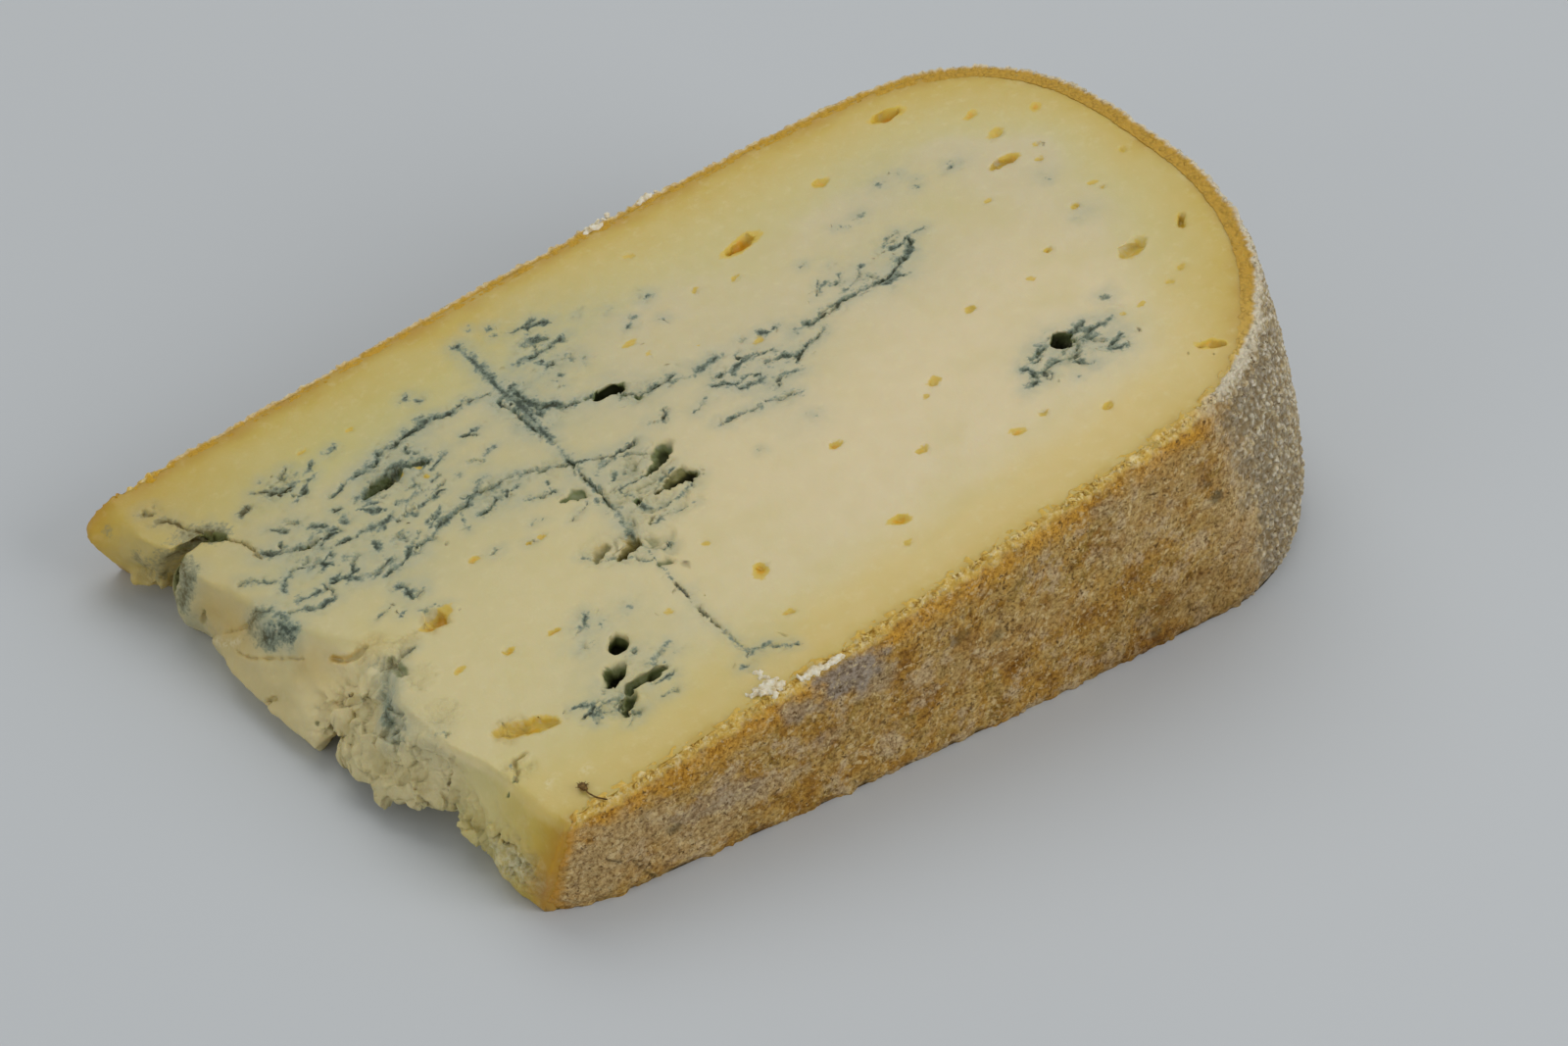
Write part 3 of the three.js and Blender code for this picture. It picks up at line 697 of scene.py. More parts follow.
# The solid's own pits among these scars, which are filled first: x, y and reach.
REFILLED = [(-20.6, 0.3, 3.4), (-20.0, -5.4, 3.8), (-29.6, -10.7, 3.6), (-56.9, 30.0, 3.2),
            (44.6, -33.4, 2.8)]
# Drag marks and torn flakes: x, y, radius, how rough, and how brown.
DRAGS = [
    (-56.6, -27.2, 2.6, .6, .3), (-54.0, -5.0, 2.2, .6, .4), (-57.8, -5.6, 1.6, .5, .2),
    (-62.0, -3.0, 2.4, .7, .3), (-60.4, -5.6, 2.4, .7, .1), (-59.2, -33.0, 2.4, .6, .0),
    (-29.0, -11.0, 4.0, .5, .0), (-25.4, -8.4, 3.6, .5, .0),
    (-20.6, 1.6, 2.6, .5, .0), (-18.6, -2.4, 2.4, .5, .0), (-21.5, -5.6, 3.0, .5, .0),
    (-24.4, -2.6, 2.6, .5, .0), (-32.4, -8.6, 3.0, .4, .0),
    (-27.0, -15.0, 3.0, .4, .0), (-19.6, -10.0, 2.6, .3, .0),
    (-46.0, 21.6, 3.4, .6, .0), (-42.2, 24.6, 2.0, .5, .0),
    (-41.5, -29.6, 3.4, .5, .0), (-44.6, -33.4, 2.4, .6, .0), (-37.0, 9.4, 3.2, .5, .0),
    (-28.6, 7.6, 2.4, .5, .0), (-61.0, -19.0, 2.6, .6, .0), (-13.6, 12.0, 2.4, .5, .0),
    (31.4, -20.5, 3.4, .5, .0), (-60.0, -12.0, 2.6, .6, .0), (-59.6, 17.0, 2.6, .5, .0),
]

# Cracks of the torn end: half width, depth, how dark, how golden, and a chain of places.
# How dark is painted inside the crack: olive mould and painted shade, near black in the deepest.
CRACKS_OF_BREAK = [
    (1.10, 1.2, 1.0, 0.0, [(-73.4, 28.2, 6.0), (-73.0, 28.0, 9.0),
                           (-72.3, 28.4, 11.4), (-70.6, 29.6, 11.2)]),
    (0.80, 1.5, 1.0, 0.0, [(-70.6, 29.6, 11.2), (-69.3, 30.2, 11.3),
                           (-67.7, 29.2, 12.4), (-66.4, 27.6, 13.0)]),
    (0.22, 1.0, 0.9, 0.3, [(-66.4, 27.6, 13.0), (-65.7, 26.2, 13.3),
                           (-64.7, 24.7, 13.5), (-64.3, 22.6, 13.6)]),
    (0.16, 0.7, 0.5, 0.8, [(-64.3, 22.6, 13.6), (-64.6, 21.6, 13.6), (-64.4, 20.4, 13.7)]),
    (0.55, 0.9, 0.0, 1.0, [(-65.3, 0.2, 11.6), (-64.8, -1.0, 11.9),
                           (-63.8, -2.0, 12.6), (-62.2, -2.3, 14.0)]),
    (0.24, 0.9, 0.1, 0.9, [(-64.3, -4.0, 11.2), (-65.5, -4.6, 9.9),
                           (-65.2, -3.8, 7.4), (-65.0, -3.6, 5.7)]),
    (0.50, 1.8, 1.0, 0.4, [(-65.0, -3.6, 5.7), (-65.8, -4.8, 4.4),
                           (-66.4, -4.6, 2.2), (-66.6, -4.4, 0.6)]),
    (0.22, 0.8, 0.6, 0.1, [(-63.1, -24.7, 10.7), (-63.2, -24.3, 8.4), (-63.1, -24.2, 6.2)]),
    (0.34, 1.0, 0.5, 0.0, [(-56.9, -31.5, 15.3), (-58.3, -31.6, 15.0), (-59.0, -33.2, 14.8),
                           (-59.7, -34.3, 14.4), (-60.8, -34.6, 12.8), (-61.2, -33.8, 10.8)]),
    (0.45, 0.9, 0.3, 0.3, [(-71.9, 22.1, 7.2), (-72.0, 22.6, 5.4), (-72.4, 23.2, 3.0)]),
    (0.40, 0.7, 0.0, 0.3, [(-72.3, 19.8, 5.6), (-72.0, 17.6, 6.9),
                           (-71.2, 15.0, 8.6), (-70.4, 13.6, 10.0)]),
    (0.20, 0.35, 0.0, 0.6, [(-71.9, 13.7, 6.2), (-71.5, 11.0, 6.9),
                            (-69.9, 7.5, 8.6), (-67.9, 3.6, 10.3)]),
    (0.40, 0.9, 0.2, 0.4, [(-72.5, 5.8, 3.0), (-72.2, 5.5, 4.0), (-71.5, 4.4, 5.0)]),
    (0.32, 0.5, 0.8, 0.2, [(-69.6, -2.9, 5.2), (-69.5, -3.0, 5.0)]),
    (0.80, 1.0, 0.7, 0.0, [(-61.0, -6.8, 14.0), (-61.0, -8.0, 14.2), (-61.0, -9.4, 14.3)]),
    (0.30, 0.8, 0.5, 0.0, [(-63.2, -10.0, 12.4), (-64.0, -10.4, 11.6), (-64.4, -12.6, 12.0)]),
    (0.35, 0.8, 0.4, 0.0, [(-65.2, -15.0, 11.0), (-65.4, -16.8, 10.6), (-66.2, -18.4, 9.4)]),
    (0.30, 0.7, 0.7, 0.0, [(-63.6, -19.2, 12.4), (-63.3, -20.6, 12.0)]),
    (0.26, 0.6, 0.6, 0.0, [(-62.0, -22.2, 14.2), (-62.6, -23.0, 13.2)]),
    (0.40, 0.9, 0.2, 0.0, [(-62.0, -34.0, 8.4), (-62.2, -35.6, 7.2),
                           (-62.0, -37.6, 7.4), (-61.8, -38.8, 5.4)]),
    (0.40, 0.8, 0.2, 0.0, [(-62.3, -36.8, 2.4), (-62.2, -37.4, 4.4), (-62.0, -36.4, 5.8)]),
]


def nearest_mark(points):
    """How far each point in the plan lies outside the eyes and the drag marks."""
    best = np.full(len(points), FAR_AWAY)
    for marks, reach in ((EYES, 0.5), (SCARS, 0.6), (DRAGS, 1)):
        for x, y, size, *_ in marks:
            best = np.minimum(best, plan_distance(points, x, y) - reach * size)
    return best


print(len(EYES), "eyes,", len(DRAGS), "drag marks and", len(CRACKS_OF_BREAK), "cracks in the torn end")

# %% [markdown]
# ## An uneven mesh for uneven detail
# Fine mesh is spent where the eye looks for it. The faces that lie on the floor or behind the rind are
# thinned by Decimate, the calm part of the cut is unsubdivided once, and the faces along the veins are
# subdivided. The paste also stands back by the rind's thickness, so that the rind can cover it.

# %% Thinning
RIND_ROOM = 1.3
END_ROOM = 0.25
HIDDEN_RATIO = 0.03
PRESSED = 0.98                     # not quite 1, so that no two points fall on one another
points = points_of(paste)
distance, outward, length_in = from_rind(points)
from_end = np.minimum(length_in, rind_length - length_in)
room = END_ROOM + (RIND_ROOM * crust_share(length_in) - END_ROOM) * grown(0.3, 2.6, from_end)
short = np.clip(room - distance, 0, RIND_ROOM)
points -= outward * (PRESSED * short)[:, None]
put_points(paste, points)
depth = below_cut(points)
behind_rind = (distance < RIND_ROOM + 0.05) & (depth > 1.6) & (points[:, 2] > 0.6)
on_floor = points[:, 2] < 0.3
edit_where(paste, behind_rind | on_floor)
bpy.ops.mesh.decimate(ratio=HIDDEN_RATIO)
edit_done()
print("after thinning what is hidden:", triangles_in(paste), "triangles")

CALM = 1.5                         # how far from a vein the cut counts as calm
CALM_ROUND_MARKS = 0.4
points = points_of(paste)
level = (np.abs(below_cut(points)) < 0.02) & (from_rind(points)[0] > 2.4) & (points[:, 0] > WHOLE_X)
calm = level & (nearest_vein(points[:, :2]) > CALM) & (nearest_mark(points) > CALM_ROUND_MARKS)
edit_where(paste, calm)
bpy.ops.mesh.unsubdivide(iterations=4)
edit_done()
print("after unsubdividing the calm cut:", triangles_in(paste), "triangles")

# %% Fine mesh where it is torn and veined
# Places on the torn end that are crumbly enough for the finest mesh: a place and a reach.
CRUMBLY = [(-65.8, -7.0, 6.0, 5.0), (-66.5, -13.0, 7.5, 5.6), (-64.8, -20.0, 8.0, 5.2),
           (-62.6, -28.0, 4.0, 2.6), (-62.0, -36.5, 5.5, 3.6)]
VEINED = 0.46                      # how far from a vein the mesh is fine
points = points_of(paste)
fine = (below_cut(points) < 3.0) & (nearest_vein(wandered(points)) < VEINED)
for x, y, length, width, _, deep, *_ in SCARS:
    if deep > 0.5:
        near = plan_distance(points, x, y) < 0.42 * (length + 0.5 * width)
        fine |= near & (below_cut(points) < 2.0)
for *place, reach in CRUMBLY:
    fine |= np.linalg.norm(points - place, axis=1) < reach
for half_width, _, _, _, chain in CRACKS_OF_BREAK:
    fine |= chain_reach(points, chain) < half_width + 0.3
fine &= (points[:, 2] > 0.3) & (from_rind(points)[0] > 1.2)
edit_where(paste, fine)
bpy.ops.mesh.subdivide(number_cuts=1)
edit_done()
print("after subdividing what is torn or veined:", triangles_in(paste), "triangles")

# %% [markdown]
# ## The torn end
# The break isn't one surface: the knobs by the rind tore smoothly, the ledge flaked off in one clean
# shell, and the soft middle crumbled. So the end is first rubbed soft with Smooth, and then each part
# gets its own relief: a fine grain everywhere, and crumbs only where the crumbling is.

# %% Soft edges
SOFTENING = 4
ROUNDING = 14                      # how often the points are smoothed


def break_share(points):
    """1 on the torn end, 0 on the cut, on the floor and behind the rind."""
    depth = below_cut(points)
    off_cut = grown(0.25, 0.9, depth)
    off_rind = grown(1.0, 2.0, from_rind(points)[0])
    return off_cut * off_rind * (points[:, 0] < BREAK_X) * (points[:, 2] > 0.15)


def smooth_where(piece, chosen, times):
    edit_where(piece, chosen)
    bpy.ops.mesh.vertices_smooth(factor=0.5, repeat=times)
    edit_done()


points = points_of(paste)
torn_end = (break_share(points) > 0.02) & (from_rind(points)[0] > 1.6)
smooth_where(paste, torn_end, SOFTENING)
# The edges of the two knobs and of the flaked ledge are rounder than the rest.
points = points_of(paste)
ROUND_EDGES = [(-60.0, -38.5, 14.0, 5.5), (-75.0, 41.0, 11.0, 5.0), (-71.5, 17.0, 11.0, 4.0),
               (-68.5, 8.0, 10.0, 6.0), (-64.5, 1.0, 11.0, 5.0)]
for x, y, z, reach in ROUND_EDGES:
    close = np.linalg.norm(points - (x, y, z), axis=1) < reach
    near_edge = close & (below_cut(points) < 4) & (points[:, 0] < KNOB_X) & (from_rind(points)[0] > 1.8)
    smooth_where(paste, near_edge, ROUNDING)
print("softened", int(torn_end.sum()), "points of the torn end")

# %% Fields on the torn end
# Each: what it is, its radius, its strength, and a chain of places on the torn end.
TORN_FEATURES = [
    ("mould", 0.7, 0.42, [(-74.6, 35.6, 8.4), (-74.0, 35.2, 6.8)]),
    ("mould", 0.8, 0.40, [(-73.3, 35.5, 5.3), (-72.0, 34.0, 5.4)]),
    ("mould", 0.6, 0.40, [(-72.4, 36.4, 3.2), (-71.8, 37.4, 1.8)]),
    ("mould", 0.9, 0.40, [(-72.6, 33.4, 8.0), (-71.9, 32.0, 9.4)]),
    ("mould", 1.6, 0.24, [(-74.0, 34.0, 7.6), (-72.0, 34.4, 5.0)]),
    ("mould", 1.4, 0.50, [(-71.9, 31.6, 9.8), (-69.7, 30.8, 11.3),
                          (-68.0, 30.0, 12.6), (-66.4, 28.4, 13.2)]),
    ("mould", 1.1, 0.46, [(-72.3, 27.1, 11.9), (-72.5, 25.2, 11.0),
                          (-73.2, 25.0, 9.0), (-73.5, 25.6, 6.6)]),
    ("mould", 0.7, 0.40, [(-71.6, 24.8, 12.0), (-72.4, 24.2, 11.2)]),
    ("mould", 0.55, 0.48, [(-70.4, 13.0, 9.9), (-69.9, 12.7, 11.3), (-69.5, 12.1, 12.1)]),
    ("mould", 0.45, 0.44, [(-69.4, 12.4, 12.2), (-68.5, 11.6, 12.7)]),
    ("mould", 0.60, 0.50, [(-68.0, 8.4, 12.4), (-67.7, 7.0, 12.4), (-67.2, 6.7, 12.8)]),
    ("mould", 0.45, 0.42, [(-67.6, 10.2, 12.9), (-67.0, 8.8, 13.0)]),
    ("mould", 0.35, 0.36, [(-68.9, 10.2, 11.9), (-68.6, 9.2, 12.1)]),
    ("mould", 0.7, 0.30, [(-76.4, 40.8, 10.0), (-76.3, 40.4, 9.6)]),
    ("mould", 0.7, 0.40, [(-61.7, -7.2, 13.4), (-62.4, -7.8, 12.6)]),
    ("mould", 0.8, 0.46, [(-63.9, -9.4, 11.4), (-64.6, -11.4, 11.6), (-65.2, -13.4, 11.2)]),
    ("mould", 0.5, 0.34, [(-65.6, -15.8, 10.8), (-65.2, -17.6, 11.2)]),
    ("mould", 0.5, 0.30, [(-63.4, -19.4, 12.4), (-62.2, -22.4, 13.8)]),
    ("mould", 0.4, 0.26, [(-58.7, -31.8, 14.8), (-59.7, -34.3, 14.2)]),
    ("haze", 1.9, 0.75, [(-61.8, -7.8, 13.4), (-64.6, -12.0, 11.6), (-65.2, -15.8, 11.4)]),
    ("haze", 2.2, 0.30, [(-65.4, -16.4, 11.0), (-63.6, -20.6, 12.4)]),
    ("haze", 3.6, 0.3, [(-74.0, 35.0, 7.0), (-71.0, 35.0, 4.0)]),
    ("haze", 3.0, 0.7, [(-73.0, 26.0, 9.0), (-73.4, 26.6, 4.0)]),
    ("haze", 2.3, 0.62, [(-69.4, 11.4, 12.0), (-68.0, 7.8, 12.2)]),
    ("haze", 2.6, 0.3, [(-62.3, -35.0, 5.0), (-61.8, -39.0, 5.6)]),
    ("crumbs", 5.0, 1.0, [(-66.0, -7.6, 6.0), (-66.6, -14.0, 7.0), (-65.4, -21.0, 8.0)]),
    ("crumbs", 3.0, 0.8, [(-63.0, -24.0, 6.0), (-62.4, -30.0, 4.0)]),
    ("crumbs", 2.6, 1.0, [(-62.0, -34.6, 5.0), (-61.8, -39.2, 5.4)]),
    ("crumbs", 2.0, 0.4, [(-73.6, 34.6, 5.0), (-71.4, 36.0, 3.0)]),
    ("gold", 3.4, 0.34, [(-71.6, 20.0, 8.0), (-71.4, 15.0, 8.4)]),
    ("gold", 4.0, 0.12, [(-72.6, 14.0, 4.0), (-71.6, 6.0, 5.0), (-68.0, -1.0, 5.0)]),
    ("gold", 3.0, 0.30, [(-76.6, 41.0, 8.0), (-75.6, 38.6, 7.6)]),
    ("gold", 2.6, 0.3, [(-67.0, 2.0, 9.0), (-66.0, -1.0, 8.0)]),
    # painted light on faces of the ledge, the notch and the crumbs that lie in shade
    ("painted_light", 2.6, 0.40, [(-68.6, -1.4, 7.0), (-65.0, -3.4, 9.0), (-62.4, -5.2, 11.5)]),
    ("painted_light", 2.2, 0.34, [(-69.6, -3.6, 3.6), (-66.8, -5.2, 5.4)]),
    ("painted_light", 3.0, 0.22, [(-64.0, -21.0, 9.0), (-60.6, -31.0, 8.0)]),
    ("pale_and_highlight", 0.4, 0.22, [(-72.3, 19.0, 4.6), (-72.0, 16.4, 5.6), (-71.2, 13.9, 7.6)]),
    ("pale_and_highlight", 1.6, 0.32, [(-62.3, -35.6, 4.4), (-62.0, -38.6, 5.6)]),
    # painted highlights: glints of sheen on the near knob's rounded edge
    ("pale_and_highlight", 0.22, 0.5, [(-57.4, -37.8, 15.1), (-56.4, -37.4, 15.4)]),
    ("pale_and_highlight", 0.30, 0.5, [(-53.6, -39.2, 16.0), (-52.9, -39.1, 16.2)]),
]
TORN_KINDS = ("mould", "haze", "crumbs", "gold", "painted_light", "pale_and_highlight")


def torn_fields(points):
    fields = {kind: np.zeros(len(points)) for kind in TORN_KINDS}
    close = np.nonzero(points[:, 0] < BREAK_X + 1)[0]
    for kind, radius, strength, chain in TORN_FEATURES:
        share = 1 - chain_reach(points[close], chain) / (2 * radius)
        fields[kind][close] = np.maximum(fields[kind][close], np.clip(share, 0, 1) * 2 * strength)
    return {kind: np.minimum(field, 1) for kind, field in fields.items()}


# %% Relief of the torn end
def chunks(places, size):
    """Breaks space into ragged chunks: 0 in the gaps between them, and each chunk's own tilted level."""
    shifted = (places + 0.3 * size * drift(places, size)) / size
    found = [noise.voronoi(Vector(p)) for p in shifted]
    gap = grown(0, 0.10, np.array([distances[1] - distances[0] for distances, _ in found]))
    level = np.array([noise.noise(middles[0] * 7.7) for _, middles in found])
    lean = np.array([(Vector(p) - middles[0]).dot(noise.noise_vector(middles[0] * 3.3))
                     for p, (_, middles) in zip(shifted, found)])
    return gap, level + 1.6 * lean


WAVE = (0.30, 3.6)                 # height and size of each kind of unevenness
LUMP = (0.10, 1.3)
TEAR = (0.35, 3.4)
CHUNK = (0.85, 3.6)
CHIP = (0.34, 1.3)
points = points_of(paste)
torn = break_share(points)
fields = torn_fields(points)
close = np.nonzero(torn > 0.01)[0]
place = points[close]
crumbly = grown(0.2, 0.9, fields["crumbs"][close])
big_gap, big_level = chunks(place, CHUNK[1])
small_gap, small_level = chunks(place, CHIP[1])
push = WAVE[0] * uneven(place, WAVE[1], 2, 1) + LUMP[0] * uneven(place, LUMP[1], 3, 2)
push += crumbly * TEAR[0] * uneven(place, TEAR[1], 3, 3)
push += crumbly * CHUNK[0] * (1.3 * big_level + 0.22 * big_gap - 0.22)
chipped = grown(-0.1, 0.3, uneven(place, 2.4, 2, 9))
push += crumbly * chipped * CHIP[0] * (1.5 * small_level + 0.3 * small_gap - 0.3)
# The gaps between the chunks are marked for painted shade in the material.
crevice = np.zeros(len(points))
crevice[close] = crumbly * np.maximum(0.7 * (1 - big_gap), 0.6 * chipped * (1 - small_gap))
points[close] += normals_of(paste)[close] * (push * torn[close])[:, None]
put_points(paste, points)
print("the torn end moved by up to", round(float(np.abs(push).max()), 2), "mm")


# %% Cracks of the torn end
def crack_fields(points):
    """How deep, how dark and how golden the cracks make each point of the torn end."""
    deep, dark, golden = (np.zeros(len(points)) for _ in range(3))
    close = np.nonzero(points[:, 0] < BREAK_X)[0]
    rag = np.array([noise.noise(Vector(p) / 0.7) for p in points[close]])
    for half_width, depth, darkness, gold, chain in CRACKS_OF_BREAK:
        distance = chain_reach(points[close], chain) + 0.16 * rag
        # Each of the three reaches a little further from the crack than the one before.
        for field, most, inner, outer in ((deep, depth, 0.1 * half_width, 1.2 * half_width),
                                          (dark, darkness, 0.2 * half_width, 1.5 * half_width),
                                          (golden, gold, 0.5 * half_width, 0.3 + half_width)):
            field[close] = np.maximum(field[close], most * (1 - grown(inner, outer, distance)))
    return deep, dark, golden


points = points_of(paste)
deep, _, _ = crack_fields(points)
put_points(paste, points - normals_of(paste) * deep[:, None])
print("cracks cut into", int((deep > 0.2).sum()), "points")

# %% [markdown]
# ## Openings on the cut
# A veined cut is full of small openings: cracks along the veins, pits at the freckles, eyes and rough
# flakes. Each pushes the fine mesh down along the cut's own normal, and each leaves a number on the mesh
# for the material to read.


# %% Ovals
def oval_reach(flat_points, x, y, length, width, turn):
    """1 at the middle of an oval, 0.5 on its edge, 0 well outside."""
    angle = math.radians(turn)
    along = np.array([math.cos(angle), math.sin(angle)])
    across = np.array([-along[1], along[0]])
    offset = flat_points - (x + MIDDLE[0], y + MIDDLE[1])
    share = np.hypot((offset @ along) / (length / 2), (offset @ across) / (width / 2))
    return np.clip(1 - share / 2, 0, 1)


# %% Fields on the cut
THREAD_REACH = 0.7


def veins_near(points, margin):
    """As by_vein, with the needle's track kept straight and the grown veins wandering."""
    yield from by_vein(wandered(points, 0.3), margin, TRACK)
    yield from by_vein(wandered(points), margin, GROWN_VEINS)


def soft_spots(flat_points, spots):
    """Round spots that fade outwards and add up where they overlap."""
    left = np.ones(len(flat_points))
    for x, y, radius, strength in spots:
        share = plan_distance(flat_points, x, y) / radius
        left *= 1 - strength * np.exp(-1.6 * share * share)
    return 1 - left


def cut_fields(points):
    """How much mould, haze, eye, drag and brown there is at each point, and how deep it is sunk."""
    flat = points[:, :2]
    ragged_flat = wandered(points)
    on_cut = 1 - grown(2.2, 4.5, below_cut(points))
    rag = uneven(points, 0.9, 3, 3)
    swelling = 0.30 + 0.60 * grown(-0.35, 0.45, uneven(points, 1.6, 2, 4))
    strength_here = 0.46 + 0.60 * grown(-0.3, 0.35, uneven(points, 3.4, 2, 9))
    thread_here = 0.58 + 0.46 * grown(-0.25, 0.3, uneven(points, 1.8, 2, 10))
    mould, line, sink, eye, drag, brown, halo = (np.zeros(len(points)) for _ in range(7))
    for half_width, deep, close, distance in veins_near(points, 4.0):
        ragged = distance + 0.12 * rag[close]
        here = half_width * swelling[close]
        growth = strength_here[close] * np.clip(1 - ragged / (2.6 * here), 0, 1)
        mould[close] = np.maximum(mould[close], growth)
        steady = np.maximum(thread_here[close], 0.92 * (deep > 0.75)) * min(0.42 + 1.2 * deep, 1)
        thread = steady * np.clip(1 - (ragged - 0.22 * here) / THREAD_REACH, 0, 1)
        line[close] = np.maximum(line[close], thread)
        spread = np.clip(1 - distance / (1.1 + 2.4 * half_width), 0, 1)
        near = min(0.36 + 0.80 * half_width, 0.95) * spread
        halo[close] = np.maximum(halo[close], near)
        opening = deep * (1 - grown(0.08, 0.5 * here + 0.1, ragged))
        sink[close] = np.maximum(sink[close], opening)
    for x, y, length, width, turn, deep, gold in EYES:
        share = oval_reach(ragged_flat, x, y, length, width, turn)
        eye = np.maximum(eye, np.clip(share, 0, 1) * (0.4 + 0.6 * gold) * (share > 0.05))
        sink = np.maximum(sink, deep * grown(0.44, 0.7, share))
    hollow = np.zeros(len(points))
    for x, y, length, width, turn, deep in HOLLOWS:
        share = oval_reach(ragged_flat, x, y, length, width, turn)
        hollow = np.maximum(hollow, deep * grown(0.38, 0.62, share))
    scar_mould_and_shade, scar_gold = np.zeros(len(points)), np.zeros(len(points))
    shard_flat = flat + 1.5 * (ragged_flat - flat)
    for x, y, length, width, turn, deep, dark, gold in SCARS:
        way = np.array([math.cos(math.radians(turn)), math.sin(math.radians(turn))])
        offset = shard_flat - (x + MIDDLE[0], y + MIDDLE[1])
        along = offset @ way / (length / 2)
        across = offset @ np.array([-way[1], way[0]]) / (width / 2)
        inside = 1 - grown(0.88, 1.08, np.hypot(along, across / np.clip(1 + 0.6 * along, 0.3, 1.6)))
        slope = np.clip(0.55 - 0.45 * across, 0, 1)
        sink = np.maximum(sink, deep * inside * slope)
        scar_mould_and_shade = np.maximum(scar_mould_and_shade, dark * inside * grown(-0.2, 0.75, slope))
        scar_gold = np.maximum(scar_gold, gold * inside)
    for x, y, radius, rough, tan in DRAGS:
        distance = plan_distance(points, x, y) + 0.5 * rag
        share = 1 - grown(0.5 * radius, 1.15 * radius, distance)
        drag = np.maximum(drag, share * rough)
        brown = np.maximum(brown, share * tan)
    haze = 1 - (1 - soft_spots(flat, HAZES)) * (1 - np.minimum(halo, 1))
    fields = {"mould": mould, "line": line, "sink": sink, "eye": eye, "drag": drag, "brown": brown,
              "haze": haze, "hollow": hollow, "scar_mould_and_shade": scar_mould_and_shade, "scar_gold": scar_gold}
    return {name: field * on_cut for name, field in fields.items()}


# The holes of the solid are smooth ovals. Some are filled, to be torn anew, and the sides of the others are
# pulled about in the plane of the cut.
REFILL = 0.995                     # not quite 1, for the same reason as PRESSED
points = points_of(paste)
for x, y, reach in REFILLED:
    near = (plan_distance(points, x, y) < reach) & (below_cut(points) < 3.0)
    points += CUT_NORMAL * (REFILL * below_cut(points) * near)[:, None]
put_points(paste, points)
free = grown(2.0, 4.0, from_rind(points)[0]) * (1 - grown(3.0, 5.0, below_cut(points)))
free *= points[:, 0] > KNOB_X
pull = 0.75 * drift(points, 1.9) + 0.3 * drift(points, 0.8)
pull -= CUT_NORMAL * (pull @ CUT_NORMAL)[:, None]
put_points(paste, points + pull * free[:, None])

points = points_of(paste)
fields = cut_fields(points)
broken = grown(-0.35, 0.15, uneven(points, 1.5, 2, 5))
FLAKE = (1.0, 2.7)
dragged = np.zeros(len(points))
close = np.nonzero(fields["drag"] > 0.01)[0]
flake_gap, flake_level = chunks(points[close] * (0.7, 1.0, 1.0), FLAKE[1])
flake_height = np.clip(0.1 + flake_level + 0.4 * (1 - flake_gap), 0, 1.3)
dragged[close] = fields["drag"][close] * FLAKE[0] * flake_height
# The gaps between the flakes also get painted shade.
crevice[close] = np.maximum(crevice[close], 0.5 * fields["drag"][close] * (1 - flake_gap))
note(paste, "crevice", crevice)
pocks = fields["haze"] * 0.35 * grown(0.3, 0.75, uneven(points, 0.75, 2, 7))
waxy = 0.02 * uneven(points, 2.6, 2, 8)
fresh_cut = 1 - grown(0.5, 2.0, below_cut(points))
rind_side = grown(0.9, 2.2, from_rind(points)[0])
sunk_share = np.maximum(0.4 + 0.6 * broken, grown(0.02, 0.2, fields["scar_mould_and_shade"]))
down = (fields["sink"] * sunk_share + dragged + pocks + waxy) * fresh_cut * rind_side
down += fields["hollow"] * rind_side
points -= CUT_NORMAL * down[:, None]
points[:, 2] = np.maximum(points[:, 2], 0)
put_points(paste, points)
print("openings up to", round(float(down.max()), 2), "mm deep, in", int((down > 0.15).sum()), "points")

# %% Numbers for the material
points = points_of(paste)
fields = cut_fields(points)
on_break = torn_fields(points)
depth = below_cut(points)
rim_distance = from_rind(points)[0]
BRIM_SCALE = 20.0
OPEN_SCALE = 2.5
# Cracks, holes and scars darken with depth: olive mould first, then painted shade, near black.
_, crack_mould_and_shade, crack_gold = crack_fields(points)
hole_mould_and_shade = np.clip(depth / OPEN_SCALE, 0, 1) * grown(2.4, 3.6, rim_distance)
hole_mould_and_shade *= (break_share(points) < 0.3) * (points[:, 0] > WHOLE_X)
hole_mould_and_shade *= 1 - grown(0.02, 0.15, fields["eye"])
hole_shade = np.minimum(2 * soft_spots(points[:, :2], SHADED_HOLES), 1)
hole_mould_and_shade = np.maximum(hole_mould_and_shade, hole_shade * grown(0.2, 0.7, depth))
paler = soft_spots(points[:, :2], CREAMS) - soft_spots(points[:, :2], RIPER)
note(paste, "rind_reach", np.clip(np.minimum(rim_distance / BRIM_SCALE, 1) + paler, 0, 1))
for kind in ("mould", "haze"):
    note(paste, kind, np.maximum(fields[kind], on_break[kind]))
for kind in ("line", "eye"):
    note(paste, kind, fields[kind])
note(paste, "opening", np.maximum.reduce([hole_mould_and_shade, crack_mould_and_shade, fields["scar_mould_and_shade"],
                                          np.clip(fields["hollow"], 0, 1)]))
note(paste, "torn", np.clip(fields["drag"] + 0.8 * on_break["crumbs"], 0, 1))
far_gold = 0.42 * (1 - grown(-74, -48, points[:, 0])) * grown(14, 36, points[:, 1])
note(paste, "gold", np.maximum.reduce([fields["brown"], fields["scar_gold"], on_break["gold"],
                                       crack_gold, far_gold]))
for kind in ("painted_light", "pale_and_highlight"):
    note(paste, kind, on_break[kind])
note(paste, "thin", (1 - grown(-50, 8, points[:, 0])) * (1 - 0.45 * break_share(points)))
